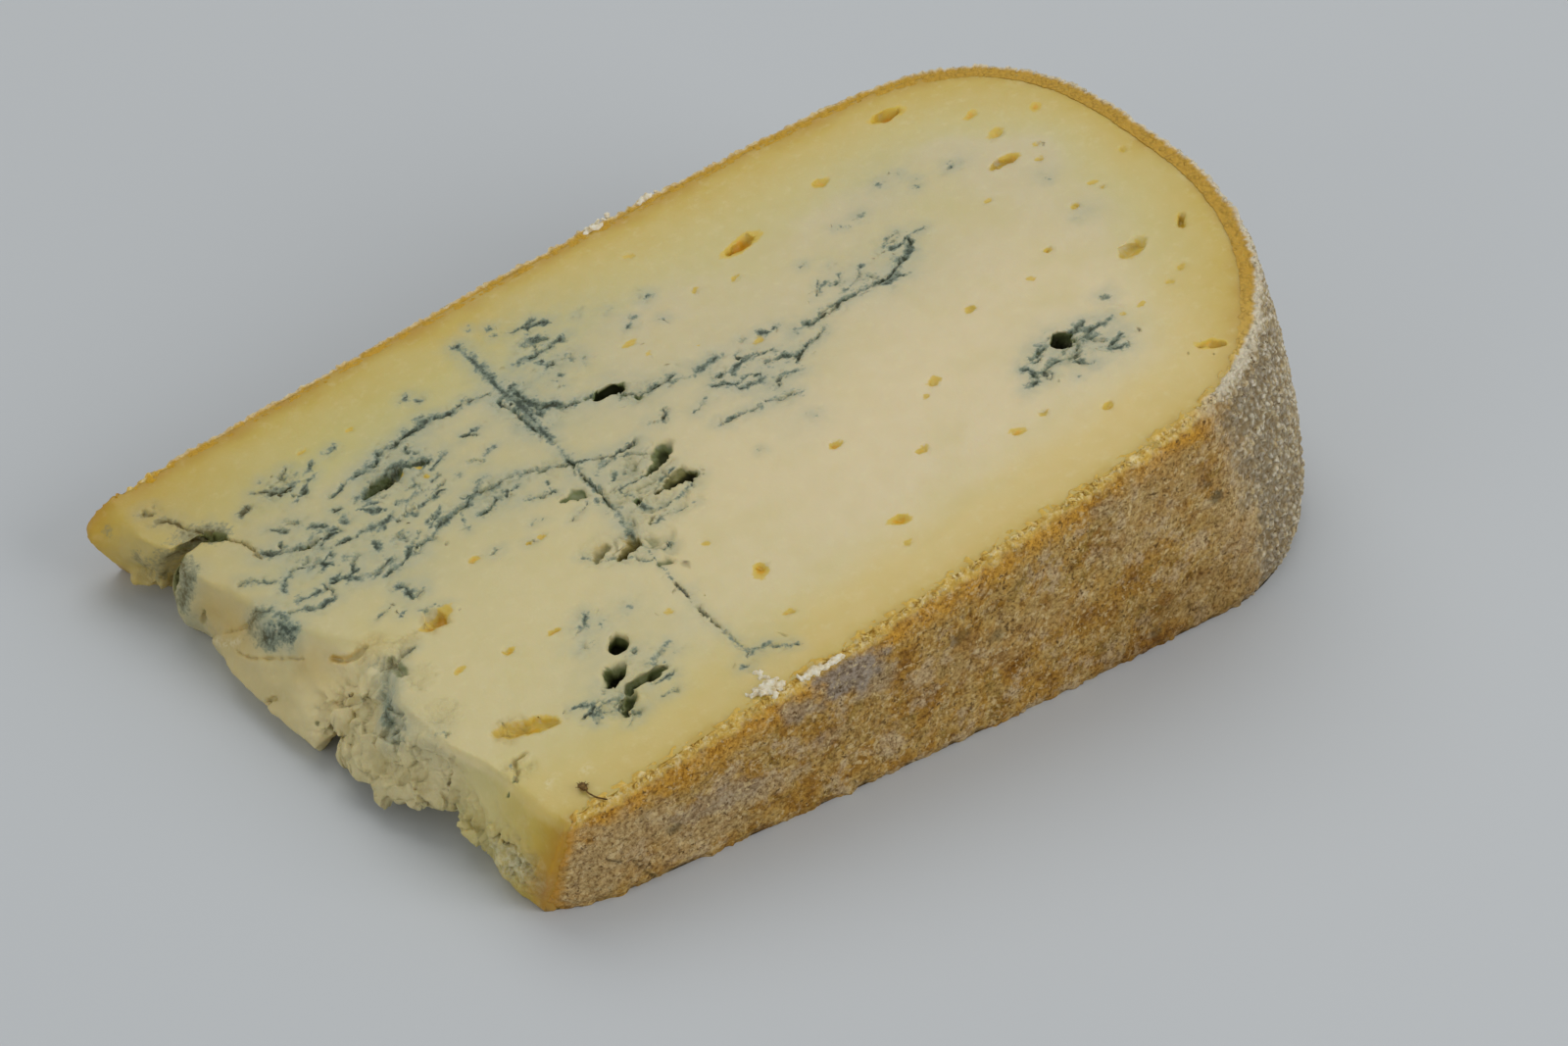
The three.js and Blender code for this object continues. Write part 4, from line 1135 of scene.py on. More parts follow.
# The cut's near half takes the paler near ramp. Everything under the cut takes the darker, more golden far
# ramp: on the torn end that is partly the paste's own gold and partly painted shade for faces turned from
# the light.
near_side = (1 - grown(-14, 14, points[:, 1])) * (1 - grown(38, 56, points[:, 0]))
note(paste, "far", 1 - near_side * (1 - grown(0.5, 1.5, depth)))
field_count = sum(layer.data_type == "FLOAT" for layer in paste.data.attributes)
print("the paste has", triangles_in(paste), "triangles and", field_count, "fields")

# %% [markdown]
# ## The rind
# The rind is a dry crust about a millimetre and a half thick. A grid is folded round the wall like a strip
# of dough: across the rim at the cut, down the outside, under the foot and up the inside again. A grid
# keeps its rows and columns, so the wrinkles, pebbles and crumbs can follow the crust. Its relief only
# goes inwards, so that the wedge keeps its size.

# %% The folded strip
RIND_COLUMNS = 800
RIM_ROWS = 8
WALL_ROWS = 76
rim_insets = np.linspace(RIND_THICK, 0.0, RIM_ROWS)
section = [(inset, 1.0) for inset in rim_insets]
section += [(0.0, up) for up in np.linspace(1, 0, WALL_ROWS)[1:]]
section += [(0.8, 0.0), (RIND_THICK, 0.0), (RIND_THICK, 0.5)]
section = np.array(section)

# The broken ends of the strip are rounded off over NOSE, with a few closer columns, and pulled in raggedly.
NOSE = 0.85
nose_columns = np.array([0, 0.12, 0.3, 0.55])
middle_count = RIND_COLUMNS - 2 * len(nose_columns)
middle_columns = np.linspace(NOSE, rind_length - NOSE, middle_count)
column_length = np.concatenate([nose_columns, middle_columns, rind_length - nose_columns[::-1]])

start_clean()
bpy.ops.mesh.primitive_grid_add(size=2, x_subdivisions=RIND_COLUMNS - 1,
                                y_subdivisions=len(section) - 1)
rind = bpy.context.object
rind.name = "rind"
grid = points_of(rind) * MM
column = np.rint((grid[:, 0] + 1) / 2 * (RIND_COLUMNS - 1)).astype(int)
row = np.rint((grid[:, 1] + 1) / 2 * (len(section) - 1)).astype(int)
inset, up = section[row, 0], section[row, 1]
from_end = np.minimum(column_length, rind_length - column_length)[column]
nose = np.maximum(0.15, np.sqrt(1 - (1 - np.clip(from_end / NOSE, 0, 1)) ** 2))
near_half = column < RIND_COLUMNS / 2
pulled = np.array([noise.noise(Vector((height * 6.0, 1.7 * side, 2.0)))
                   for height, side in zip(up, near_half)])
tuck = np.maximum(0, 0.45 + 0.8 * pulled) * np.clip(1 - from_end / 6, 0, 1)
length_in = column_length[column] + np.where(near_half, tuck, -tuck)
along = np.interp(length_in, dense_length, dense)
thinned = crust_share(length_in)
depth_in = RIND_THICK * thinned * (0.5 + (inset / RIND_THICK - 0.5) * nose)
NUDGE = 5e-4
wall_x, wall_y = wall(along, up)
ahead_x, ahead_y = wall(np.minimum(along + NUDGE, 1), up)
behind_x, behind_y = wall(np.maximum(along - NUDGE, 0), up)
tangent = np.stack([ahead_x - behind_x, ahead_y - behind_y], -1)
tangent /= np.linalg.norm(tangent, axis=1)[:, None]
outward_flat = np.stack([tangent[:, 1], -tangent[:, 0]], -1)
flat = np.stack([wall_x, wall_y], -1) - outward_flat * depth_in[:, None]
folded = np.column_stack([flat, up * cut_height(flat[:, 0])])
put_points(rind, folded)
print("the rind's strip is", round(rind_length, 1), "mm long, with", triangles_in(rind), "triangles")

# %% Closing the strip
edit_where(rind, np.zeros(len(row), bool), mode="EDGE")
edit_done()
seam = (row == 0) | (row == len(section) - 1)
pairs = np.empty(len(rind.data.edges) * 2, np.int32)
rind.data.edges.foreach_get("vertices", pairs)
pairs = pairs.reshape(-1, 2)
same_row = row[pairs[:, 0]] == row[pairs[:, 1]]
rind.data.edges.foreach_set("select", seam[pairs[:, 0]] & seam[pairs[:, 1]] & same_row)
bpy.ops.object.mode_set(mode="EDIT")
bpy.ops.mesh.bridge_edge_loops()
bpy.ops.mesh.select_all(action="DESELECT")
bpy.ops.mesh.select_non_manifold(extend=False, use_boundary=True, use_wire=False,
                                 use_multi_face=False, use_non_contiguous=False, use_verts=False)
bpy.ops.mesh.fill_holes(sides=0)
bpy.ops.mesh.select_all(action="SELECT")
bpy.ops.mesh.normals_make_consistent(inside=False)
edit_done()
loose = sum(1 for edge in rind.data.edges if edge.is_loose)
print("closed, with", triangles_in(rind), "triangles and", loose, "loose edges")

# %% [markdown]
# ## Relief of the rind
# Old rind is never even. On the flat faces it is sandy, with fine level wrinkles towards the thin end. On
# the heel it is pebbled by the cloth that the wheel dried in. Along the cut the knife crumbled it, so the
# rim is a row of pale granules that stand a little up and out.

# %% Fields on the rind
RIM_GRAIN_REACH = 2.4
points = points_of(rind)
count = len(points)
flat_x = points[:, 0]
below_brim = below_cut(points)
on_outside = (inset == 0.0)
on_rim = (up == 1.0)
hidden = (up < 1.0) & (inset > 0)
# The way the wall faces: 0 is to the near side and pi to the far one.
angle_in = np.arctan2(outward_flat[:, 0], -outward_flat[:, 1])
heel = grown(0.06, 0.44, angle_in + 0.10 * uneven(points, 4.0, 3, 18))
heel *= 1 - 0.5 * grown(2.4, 3.0, angle_in)
rim_near = 1 - grown(0.3, RIM_GRAIN_REACH, below_brim)
thin_end = 1 - grown(-60, -20, points[:, 0])

wave = uneven(points, 6.0, 2, 11)
lump = uneven(points, 2.2, 3, 12)
sand = uneven(points, 0.75, 2, 13)
# Pebbles are taller than wide, and wrinkles run level.
pebble_places = np.column_stack([length_in, np.zeros(count), points[:, 2] / 1.7])
pebble = grown(0.0, 0.45, cell_gap(pebble_places))
level_lines = np.column_stack([length_in / 4.5, np.zeros(count), points[:, 2] / 0.55])
wrinkle = np.array([noise.noise(Vector(p)) for p in level_lines])
granule = grown(0.0, 0.55, cell_gap(points / 0.95))

# Cracks of the rind: half width and a chain of places.
CRACKS = [
    (0.13, [(-53.6, -45.3, 7.0), (-52.6, -45.4, 6.1), (-51.9, -45.5, 5.8)]),
    (0.15, [(-50.1, -45.6, 5.3), (-49.2, -45.6, 3.7), (-48.4, -45.6, 2.5), (-46.4, -45.2, 0.4)]),
    (0.10, [(-49.2, -45.6, 4.4), (-48.0, -45.6, 4.6), (-46.8, -45.6, 4.3)]),
    (0.12, [(22.0, -45.5, 17.0), (23.4, -45.4, 17.4), (24.2, -45.4, 16.2)]),
    (0.12, [(28.2, -45.0, 22.0), (28.4, -45.0, 19.6), (27.8, -45.0, 18.2)]),
]
crack = np.zeros(count)
for half_width, chain in CRACKS:
    share = 1 - chain_reach(points, chain) / (2.2 * half_width) - 0.16 * sand
    crack = np.maximum(crack, np.clip(share, 0, 1))

crumbled = 1 - 0.75 * grown(0.3, 1.0, angle_in)        # the knife crumbled the near rim most
# How far in the relief lies at rest, and how much each kind of unevenness adds, in millimetres.
AT_REST, WAVES, LUMPS, SAND = 0.26, 0.20, 0.20, 0.22
PEBBLE_GAPS, WRINKLES, GRANULE_GAPS = 0.56, 0.16, 0.44
DEEPEST_IN, FURTHEST_OUT = 0.95, 0.2
inward = AT_REST - WAVES * wave - LUMPS * lump * (1 - 0.4 * heel) - SAND * sand * (1 - 0.3 * heel)
inward += heel * PEBBLE_GAPS * (1 - pebble)
inward += thin_end * WRINKLES * wrinkle * (1 - heel)
inward += rim_near * (GRANULE_GAPS * (1 - granule) - 0.10) * (1 - 0.4 * grown(0.3, 1.0, angle_in))
scallop = np.array([noise.noise(Vector((length / 3.4, 0.3, 2.0)))
                    + 0.6 * noise.noise(Vector((length / 1.3, 4.0, 1.0))) for length in length_in])
inward += (1 - grown(0.0, 3.2, below_brim)) * crumbled * np.maximum(0, 0.42 + 0.75 * scallop)
fuller = 0.17 + 0.50 * (1 - grown(1.0, 6.0, below_brim))
inward -= (1 - crumbled) * fuller * (0.5 + 0.8 * grown(-30, 45, flat_x))
inward += 0.8 * grown(0.2, 0.8, crack)
foot_rag = uneven(points * (1, 1, 0), 2.0, 3, 14)
foot = 1 - grown(0.0, 1.6, points[:, 2])
inward += foot * (0.45 + 0.55 * foot_rag)
inward = np.clip(inward, -FURTHEST_OUT, DEEPEST_IN) * thinned * nose
inward[hidden] = 0
inward[on_rim] *= 1 - 0.8 * inset[on_rim] / RIND_THICK
inner_edge = np.where(on_rim, inset / RIND_THICK, 0)
inward += inner_edge * ((0.9 * crumbled - 0.1) * uneven(points, 1.5, 3, 17) + 0.62) * nose
last_row = on_rim & (inset == RIND_THICK)
inward += 0.66 * last_row * (1 - crumbled) * nose      # tucked under the paste, so no edge shows there
outward = np.column_stack([outward_flat, np.zeros(count)])
points -= outward * inward[:, None]
rise = np.where(on_rim, 0.34 * (granule - 0.55) + 0.5 * uneven(points, 1.3, 3, 15) + 0.06, 0)
rise *= np.where(on_rim, grown(0.0, 0.35, 1 - inset / RIND_THICK), 0)
rise[last_row] -= 0.3
rise *= nose * (0.25 + 0.75 * crumbled)
points += CUT_NORMAL * rise[:, None]
points[:, 2] = np.clip(points[:, 2], 0, cad_high.z / MM)
put_points(rind, points)
print("the rind's relief goes in by", round(float(inward[on_outside].mean()), 2), "mm on average")

# %% Numbers for the rind's material
# Grey patches, dusty blooms and dark spots: x, height, half length, half height and strength.
GREY_PATCHES = [(-18.5, 19.6, 6.0, 3.4, 1.0), (-26.5, 17.6, 2.6, 2.2, .55), (-14.5, 17.0, 3.0, 2.2, .5),
                (-38.0, 9.0, 7.0, 2.2, .5), (-22, 11.5, 3, 1.6, .35), (21, 28, 2.6, 1.6, .35)]
BLOOMS = [(50, 20, 12, 12, .55), (30, 26, 9, 7, .35), (44, 6, 12, 5, .3), (-52, 9, 10, 5, .8),
          (-42, 5, 9, 3.4, .7), (-33, 7.6, 7, 2.4, .7), (-56, 3.4, 7, 3, .7),
          (-26.6, 18, 2.4, 2, .5), (5, 14, 14, 4, .3), (28, 22, 9, 5, .35)]
DARK_SPOTS = [(40.4, 21.4, 1.3, 1.1, .8), (38.6, 24.0, 1.0, .9, .5), (50.4, 12.8, .9, .8, .6),
              (32.0, 3.0, 1.2, .8, .5), (-44.0, 7.4, 1.2, .8, .6), (-2.0, 18.0, 2.0, 1.2, .5),
              (4.0, 15.5, 1.4, 1.0, .5)]
edge_rag = uneven(points, 1.8, 3, 16)


def patches(spots):
    """Soft ragged spots on the near face, each with its x, height, half sizes and strength."""
    best = np.zeros(count)
    for x, z, half_long, half_high, strength in spots:
        share = np.hypot((points[:, 0] - x) / half_long, (points[:, 2] - z) / half_high)
        best = np.maximum(best, strength * (1 - grown(0.6, 1.25, share + 0.45 * edge_rag)))
    return best * (angle_in < 1.2)


# Painted shade in the hollows of the relief and between the heel's pebbles, fading out near the brim.
cavity_shade = np.clip(inward + 0.6 * heel * (1 - pebble), 0, 1) * on_outside * grown(1.2, 3.2, below_brim)
note(rind, "below_brim", np.clip(below_brim / 10, 0, 1))
note(rind, "heel", heel)
note(rind, "cavity_shade", cavity_shade)
note(rind, "grey", patches(GREY_PATCHES))
note(rind, "bloom", patches(BLOOMS))
note(rind, "dark", np.maximum(patches(DARK_SPOTS), 0.75 * grown(0.3, 0.8, crack)))
end_edge = 1 - grown(0.5, 2.0, from_end + 0.9 * edge_rag)
note(rind, "rim_orange", 0.9 * end_edge)
inner_start = 0.22 - 0.2 * (1 - crumbled)
note(rind, "rim_inside", on_rim * grown(inner_start, inner_start + 0.3, inset / RIND_THICK))
# Painted shade towards the floor at the heel end.
note(rind, "low", grown(8, 34, points[:, 0]) * (1 - grown(4, 17, points[:, 2])))
note(rind, "far", np.maximum(grown(-10, 20, points[:, 1]), grown(44, 58, points[:, 0])))
print("the rind's fields are written")

# %% [markdown]
# ## Crumbs on the rim
# The knife leaves crumbs of rind along the rim. One icosphere with few faces is dented into each of three
# shapes, and every crumb is a small copy with its own mesh, sunk a little into the rim. At two places on
# the near rim and two on the far one, dry white paste has gathered into tufts, heaps of the same crumbs.

# %% Three crumbs
draw = random.Random(21)
CRUMB_SHAPES = []
for number in range(3):
    bpy.ops.mesh.primitive_ico_sphere_add(subdivisions=2, radius=1 * MM)
    crumb = bpy.context.object
    points = points_of(crumb)
    dents = 1 + 0.7 * uneven(points, 0.8, 3, 30 + number)
    put_points(crumb, points * dents[:, None] * (1.0, 0.8, 0.6))
    CRUMB_SHAPES.append(crumb)
print("each crumb has", triangles_in(CRUMB_SHAPES[0]), "triangles")


def kept_inside(points):
    """The points, with their heights and depths held inside the solid's own box."""
    points[:, 2] = np.minimum(points[:, 2], cad_high.z / MM)
    points[:, 1] = np.clip(points[:, 1], cad_low.y / MM, cad_high.y / MM)
    return points


def strew(name, spots):
    """Copies crumbs to these spots, each a place and a radius, and joins them into one piece."""
    copies = []
    for place, radius in spots:
        pattern = draw.choice(CRUMB_SHAPES)
        copy = pattern.copy()
        copy.data = pattern.data.copy()
        bpy.context.collection.objects.link(copy)
        copy.location = [v * MM for v in place]
        copy.rotation_euler = [draw.uniform(0, 2 * math.pi) for _ in range(3)]
        copy.scale = (radius, radius, radius)
        copies.append(copy)
    join(copies, into=copies[0])
    piece = bpy.context.object
    piece.name = name
    bpy.ops.object.transform_apply(location=True, rotation=True, scale=True)
    put_points(piece, kept_inside(points_of(piece)))
    return piece


def on_the_rim(length, inset):
    """A place on the cut at this length along the rind and this far in from its outside."""
    nudge = 0.5
    x, y = wall(np.interp([length - nudge, length, length + nudge], dense_length, dense), np.ones(3))
    ahead = np.array([x[2] - x[0], y[2] - y[0]])
    ahead /= np.linalg.norm(ahead)
    flat = np.array([x[1], y[1]]) - np.array([ahead[1], -ahead[0]]) * inset
    return np.array([flat[0], flat[1], cut_height(flat[0])])


# %% Crumbs along the rim
# Each stretch: its share of the rind's length, how many crumbs, and how far in they may lie.
RIM_STRETCHES = [((0.01, 0.32), 330, 1.15), ((0.32, 0.56), 50, 0.5)]
spots = []
for (start, end), crumb_count, widest in RIM_STRETCHES:
    for _ in range(crumb_count):
        length = rind_length * draw.uniform(start, end)
        thick = noise.noise(Vector((length / 5, 0, 7)))
        if thick < draw.uniform(-0.6, 0.2):
            continue
        radius = draw.uniform(0.14, 0.34) * (1.0 + 0.5 * max(0, thick))
        place = on_the_rim(length, draw.uniform(0.15, widest))
        spots.append((place + CUT_NORMAL * draw.uniform(-0.2, 0.06), radius))
rim_crumbs = strew("rim_crumbs", spots)
note(rim_crumbs, "heel", grown(30, 46, points_of(rim_crumbs)[:, 0]))
print(len(spots), "crumbs on the rim,", triangles_in(rim_crumbs), "triangles")

# %% White tufts
# Each part of a tuft: its x and y on the cut, how it spreads along and across, how high it is heaped,
# and how many crumbs.
TUFTS = [
    (-29.2, -43.3, 1.2, 0.8, 0.7, 60), (-30.8, -42.8, 1.3, 0.6, 0.3, 18),
    (-24.6, -44.6, 1.3, 0.35, 0.4, 26), (-21.4, -44.8, 1.5, 0.3, 0.2, 18),
    (0.9, 44.0, 1.3, 0.5, 0.4, 26), (8.9, 43.9, 1.1, 0.4, 0.3, 18), (-29.0, -41.0, 0.5, 1.4, 0.0, 10),
]
TUFT_VOXEL = 0.15
MEALY = (0.11, 0.45)               # height and size of the grain
SUNK = 0.1
spots = []
for middle_x, middle_y, spread_along, spread_across, heaped, crumb_count in TUFTS:
    for _ in range(crumb_count):
        x = middle_x + spread_along * draw.gauss(0, 0.6)
        y = middle_y + spread_across * draw.gauss(0, 0.6)
        radius = draw.uniform(0.26, 0.52)
        lift = draw.uniform(0, heaped)
        spots.append((np.array([x, y, cut_height(x)]) + CUT_NORMAL * (lift - SUNK), radius))
tufts_piece = strew("white_tufts", spots)
# A voxel remesh fuses the heaps, and a fine noise makes them mealy.
voxel_remesh(tufts_piece, TUFT_VOXEL)
points = points_of(tufts_piece)
points += normals_of(tufts_piece) * (MEALY[0] * uneven(points, MEALY[1], 3, 51))[:, None]
put_points(tufts_piece, kept_inside(points))
print(len(spots), "crumbs in the tufts,", triangles_in(tufts_piece), "triangles")
for crumb in CRUMB_SHAPES:
    hold(crumb)
    bpy.ops.object.delete()

# %% [markdown]
# ## The stalk
# A dried flower stalk sticks to the cut near the thin end: a small bristly head and a bent stem. The head is
# an icosphere with cones for bristles, and the stem a thin cylinder bent along three places.

# %% Head and stem
STALK_HEAD = np.array([-54.6, -41.1, 16.2])
STEM = [(-54.5, -41.3, 16.1), (-54.7, -42.4, 16.2), (-54.3, -43.6, 16.2), (-53.5, -44.7, 16.3)]
STEM_RADIUS = 0.11
bpy.ops.mesh.primitive_ico_sphere_add(subdivisions=3, radius=0.5 * MM)
head = bpy.context.object
points = points_of(head)
points *= (1 + 0.5 * uneven(points, 0.35, 2, 41))[:, None] * (1.0, 1.3, 0.7)
put_points(head, points + STALK_HEAD)
parts = [head]
BRISTLES = 9
for number in range(BRISTLES):
    angle = 2 * math.pi * number / BRISTLES + draw.uniform(-0.2, 0.2)
    rise = draw.uniform(0.0, 0.6)
    way = Vector((math.cos(angle), math.sin(angle), rise)).normalized()
    bpy.ops.mesh.primitive_cone_add(vertices=6, radius1=0.10 * MM, radius2=0.02 * MM, depth=0.7 * MM)
    bristle = bpy.context.object
    bristle.rotation_euler = way.to_track_quat("Z", "Y").to_euler()
    bristle.location = (Vector(STALK_HEAD) + way * 0.6) * MM
    bpy.ops.object.transform_apply(location=True, rotation=True, scale=True)
    parts.append(bristle)
bpy.ops.mesh.primitive_cylinder_add(vertices=8, radius=STEM_RADIUS * MM, depth=2 * MM)
stem = bpy.context.object
edit_all(stem)
bpy.ops.mesh.subdivide(number_cuts=9)
edit_done()
points = points_of(stem)
stem_line = np.array(STEM)
share = (points[:, 2] + 1) / 2 * (len(STEM) - 1)
bent = np.column_stack([np.interp(share, range(len(STEM)), stem_line[:, i]) for i in range(3)])
put_points(stem, bent + np.column_stack([points[:, 0], np.zeros(len(points)), points[:, 1]]))
join([*parts, stem], into=head)
stalk = bpy.context.object
stalk.name = "stalk"
print("the stalk has", triangles_in(stalk), "triangles")

# %% [markdown]
# ## How the finishes are mixed
# Each finish is a Principled shader whose colour is painted in layers: a broad gradient first, then
# patches, then grain, as a model painter would. `Finish` holds the few nodes that the layers need. Noise is
# read at Object coordinates, so it stays in the material, and the mesh's own numbers say where things are.


# %% A small paint box
def paint(red, green, blue):
    """A colour as seen on a screen, 0 to 255, as the linear colour that shaders use."""
    def linear(value):
        value /= 255
        return value / 12.92 if value <= 0.04045 else ((value + 0.055) / 1.055) ** 2.4
    return (linear(red), linear(green), linear(blue), 1.0)


class Finish:
    def __init__(self, name):
        self.material = bpy.data.materials.new(name)
        self.material.use_nodes = True
        self.tree = self.material.node_tree
        self.tree.nodes.clear()
        self.shader = self.tree.nodes.new("ShaderNodeBsdfPrincipled")
        output = self.tree.nodes.new("ShaderNodeOutputMaterial")
        self.tree.links.new(self.shader.outputs[0], output.inputs[0])
        self.place = self.tree.nodes.new("ShaderNodeTexCoord").outputs["Object"]

    def put(self, socket, value):
        """Links a socket, or writes a plain value on it."""
        if isinstance(value, bpy.types.NodeSocket):
            self.tree.links.new(value, socket)
        else:
            socket.default_value = value

    def field(self, name):
        node = self.tree.nodes.new("ShaderNodeAttribute")
        node.attribute_name = name
        return node.outputs["Fac"]

    def noise(self, size, detail=3.0, rough=0.55, twist=0.0):
        """Soft noise from 0 to 1, with features of this size in millimetres."""
        node = self.tree.nodes.new("ShaderNodeTexNoise")
        self.put(node.inputs["Vector"], self.place)
        node.inputs["Scale"].default_value = 1 / (size * MM)
        node.inputs["Detail"].default_value = detail
        node.inputs["Roughness"].default_value = rough
        node.inputs["Distortion"].default_value = twist
        return node.outputs["Fac"]

    def cells(self, size):
        """How far each place is from the middle of its cell, for cells of this size in millimetres."""
        node = self.tree.nodes.new("ShaderNodeTexVoronoi")
        self.put(node.inputs["Vector"], self.place)
        node.inputs["Scale"].default_value = 1 / (size * MM)
        return node.outputs["Distance"]

    def step(self, value, low, high, to_low=0.0, to_high=1.0):
        """Maps low..high to to_low..to_high, and holds it there outside."""
        node = self.tree.nodes.new("ShaderNodeMapRange")
        node.interpolation_type = "SMOOTHSTEP"
        for key, number in zip(("Value", "From Min", "From Max", "To Min", "To Max"),
                               (value, low, high, to_low, to_high)):
            self.put(node.inputs[key], number)
        return node.outputs[0]

    def sum(self, *values, how="ADD"):
        total = values[0]
        for value in values[1:]:
            node = self.tree.nodes.new("ShaderNodeMath")
            node.operation = how
            self.put(node.inputs[0], total)
            self.put(node.inputs[1], value)
            total = node.outputs[0]
        return total

    def times(self, *values):
        return self.sum(*values, how="MULTIPLY")

    def bands(self, value, stops):
        """A colour ramp: pairs of a place from 0 to 1 and a colour as seen on a screen."""
        node = self.tree.nodes.new("ShaderNodeValToRGB")
        self.put(node.inputs[0], value)
        ramp = node.color_ramp
        while len(ramp.elements) < len(stops):
            ramp.elements.new(0.5)
        for element, (place, colour) in zip(ramp.elements, stops):
            element.position = place
            element.color = paint(*colour)
        return node.outputs[0]

    def layer(self, under, over, amount, blend="MIX"):
        """Lays one colour over another."""
        node = self.tree.nodes.new("ShaderNodeMix")
        node.data_type = "RGBA"
        node.blend_type = blend
        node.clamp_factor = True
        self.put(node.inputs["Factor"], amount)
        self.put(node.inputs[6], under)
        self.put(node.inputs[7], over)
        return node.outputs[2]

    def bump(self, height, depth, strength=1.0, under=None):
        """Turns heights into a bumpy normal. depth is in millimetres."""
        node = self.tree.nodes.new("ShaderNodeBump")
        node.inputs["Strength"].default_value = strength
        node.inputs["Distance"].default_value = depth * MM
        self.put(node.inputs["Height"], height)
        if under is not None:
            self.put(node.inputs["Normal"], under)
        return node.outputs[0]

    def settle(self, **values):
        """Sets or links the shader's own sockets."""
        for name, value in values.items():
            self.put(self.shader.inputs[name.replace("_", " ")], value)


print("the paint box is ready")

# %% [markdown]
# ## The paste's finish
# Ripening works inwards from the rind: an orange-brown line, then gold, then pale cream in the middle. The
# mould lies over that, first as haze in the paste and then as dark teal in the openings, and its edge is
# broken up by fine noise because it is made of tufts. Openings, cracks and scars also go olive and then near
# black with depth, which is mould and painted shade. Shaded faces of the torn end get painted light, the
# gaps between its chunks painted shade, the near knob's edge a few painted highlights, and the eyes' orange
# cores a painted glow. Cheese lets light in, so the shader scatters a little of it under the surface.

# %% Paste
curd = Finish("paste")
reach = curd.sum(curd.field("rind_reach"), curd.step(curd.noise(6.0, 3), 0.2, 0.8, -0.04, 0.04))
near_cream = curd.bands(reach, [
    (0.0, (194, 158, 64)), (0.07, (201, 170, 79)), (0.12, (209, 182, 99)),
    (0.20, (214, 188, 113)), (0.40, (218, 194, 124)), (0.65, (219, 201, 148)),
    (0.85, (221, 203, 157)),
])
far_cream = curd.bands(reach, [
    (0.0, (174, 124, 26)), (0.06, (189, 144, 28)), (0.12, (193, 157, 48)),
    (0.20, (203, 175, 76)), (0.32, (207, 183, 100)), (0.60, (207, 190, 121)),
    (0.85, (206, 192, 134)), (1.0, (208, 193, 148)),
])
cream = curd.layer(near_cream, far_cream, curd.field("far"))
# Darker and yellower towards the thin end, less so near the rind and on the torn end.
thin_end_tone = curd.times(curd.field("thin"), curd.step(reach, 0.1, 0.5, 0.6, 1.0))
cream = curd.layer(cream, (0.91, 0.935, 0.79, 1.0), thin_end_tone, "MULTIPLY")
mottled = curd.layer(cream, paint(230, 219, 170), curd.step(curd.noise(1.6, 4, 0.65), 0.5, 0.8, 0, 0.22))
mottled = curd.layer(mottled, paint(204, 188, 118), curd.step(curd.noise(11.0, 2), 0.45, 0.8, 0, 0.40))
specks = curd.noise(0.62, 4, 0.7)
tufts = curd.cells(0.85)
haze = curd.field("haze")
growth = curd.field("mould")
hazy_amount = curd.times(haze, curd.step(curd.noise(2.0, 4, 0.6), 0.25, 0.7, 0.5, 1.0))
hazed = curd.layer(mottled, paint(158, 165, 143), curd.times(hazy_amount, 0.85))
ragged = curd.sum(curd.step(specks, 0.28, 0.72, -0.24, 0.26), curd.step(tufts, 0.50, 0.12, -0.12, 0.14),
                  curd.step(curd.noise(0.3, 2), 0.3, 0.7, -0.08, 0.08))
ragged = curd.times(ragged, curd.step(curd.sum(growth, curd.times(haze, 0.3)), 0.10, 0.30))
mould_level = curd.sum(growth, curd.times(haze, 0.16), ragged)
soft_mould = curd.layer(hazed, paint(118, 132, 113), curd.step(mould_level, 0.12, 0.66, 0, 0.85))
mouldy = curd.layer(soft_mould, paint(56, 67, 52), curd.step(mould_level, 0.54, 1.10, 0, 0.9))
thread = curd.sum(curd.field("line"), curd.step(curd.noise(0.4, 3), 0.3, 0.7, -0.07, 0.07))
mouldy = curd.layer(mouldy, paint(44, 48, 20), curd.step(thread, 0.60, 0.98, 0, 0.86))
# The eyes are yellow with orange cores, and the cores are brightened as a painted glow of light scattered in
# the pits.
eye_level = curd.sum(curd.field("eye"), curd.step(curd.noise(0.7, 2), 0.2, 0.8, -0.06, 0.06))
eyes_and_glow = curd.layer(mouldy, paint(214, 182, 66), curd.step(eye_level, 0.26, 0.44, 0, 0.9))
eyes_and_glow = curd.layer(eyes_and_glow, paint(220, 162, 6), curd.step(eye_level, 0.50, 0.80, 0, 0.95))
golden = curd.layer(eyes_and_glow, paint(190, 154, 56), curd.times(curd.field("gold"), 0.85))
# Openings go olive and then near black: mould lining and painted shade in the hollows.
opening = curd.field("opening")
bare = curd.step(curd.field("eye"), 0.5, 0.25)
olive_hollow = curd.layer(paint(100, 110, 58), paint(116, 96, 22), curd.field("gold"))
mould_and_shade_in_holes = curd.layer(golden, olive_hollow, curd.times(bare, curd.step(opening, 0.06, 0.46, 0, 0.9)))
mould_and_shade_in_holes = curd.layer(mould_and_shade_in_holes, paint(24, 24, 12), curd.times(bare, curd.step(opening, 0.46, 0.95, 0, 0.92)))
torn_amount = curd.field("torn")
flaked = curd.layer(mould_and_shade_in_holes, paint(220, 212, 168), curd.times(torn_amount, curd.step(specks, 0.4, 0.8, 0, 0.4)))
# Painted shade in some of the gaps between the torn chunks and flakes.
some_cracks = curd.step(curd.noise(3.4, 3), 0.42, 0.62, 0.12, 0.6)
shaded_crevices = curd.layer(flaked, paint(128, 122, 78),
                     curd.times(curd.step(curd.field("crevice"), 0.35, 0.95), some_cracks))
# Painted light on the shaded faces of the torn end.
lit = curd.layer(shaded_crevices, paint(238, 222, 168), curd.times(curd.field("painted_light"), 0.62))
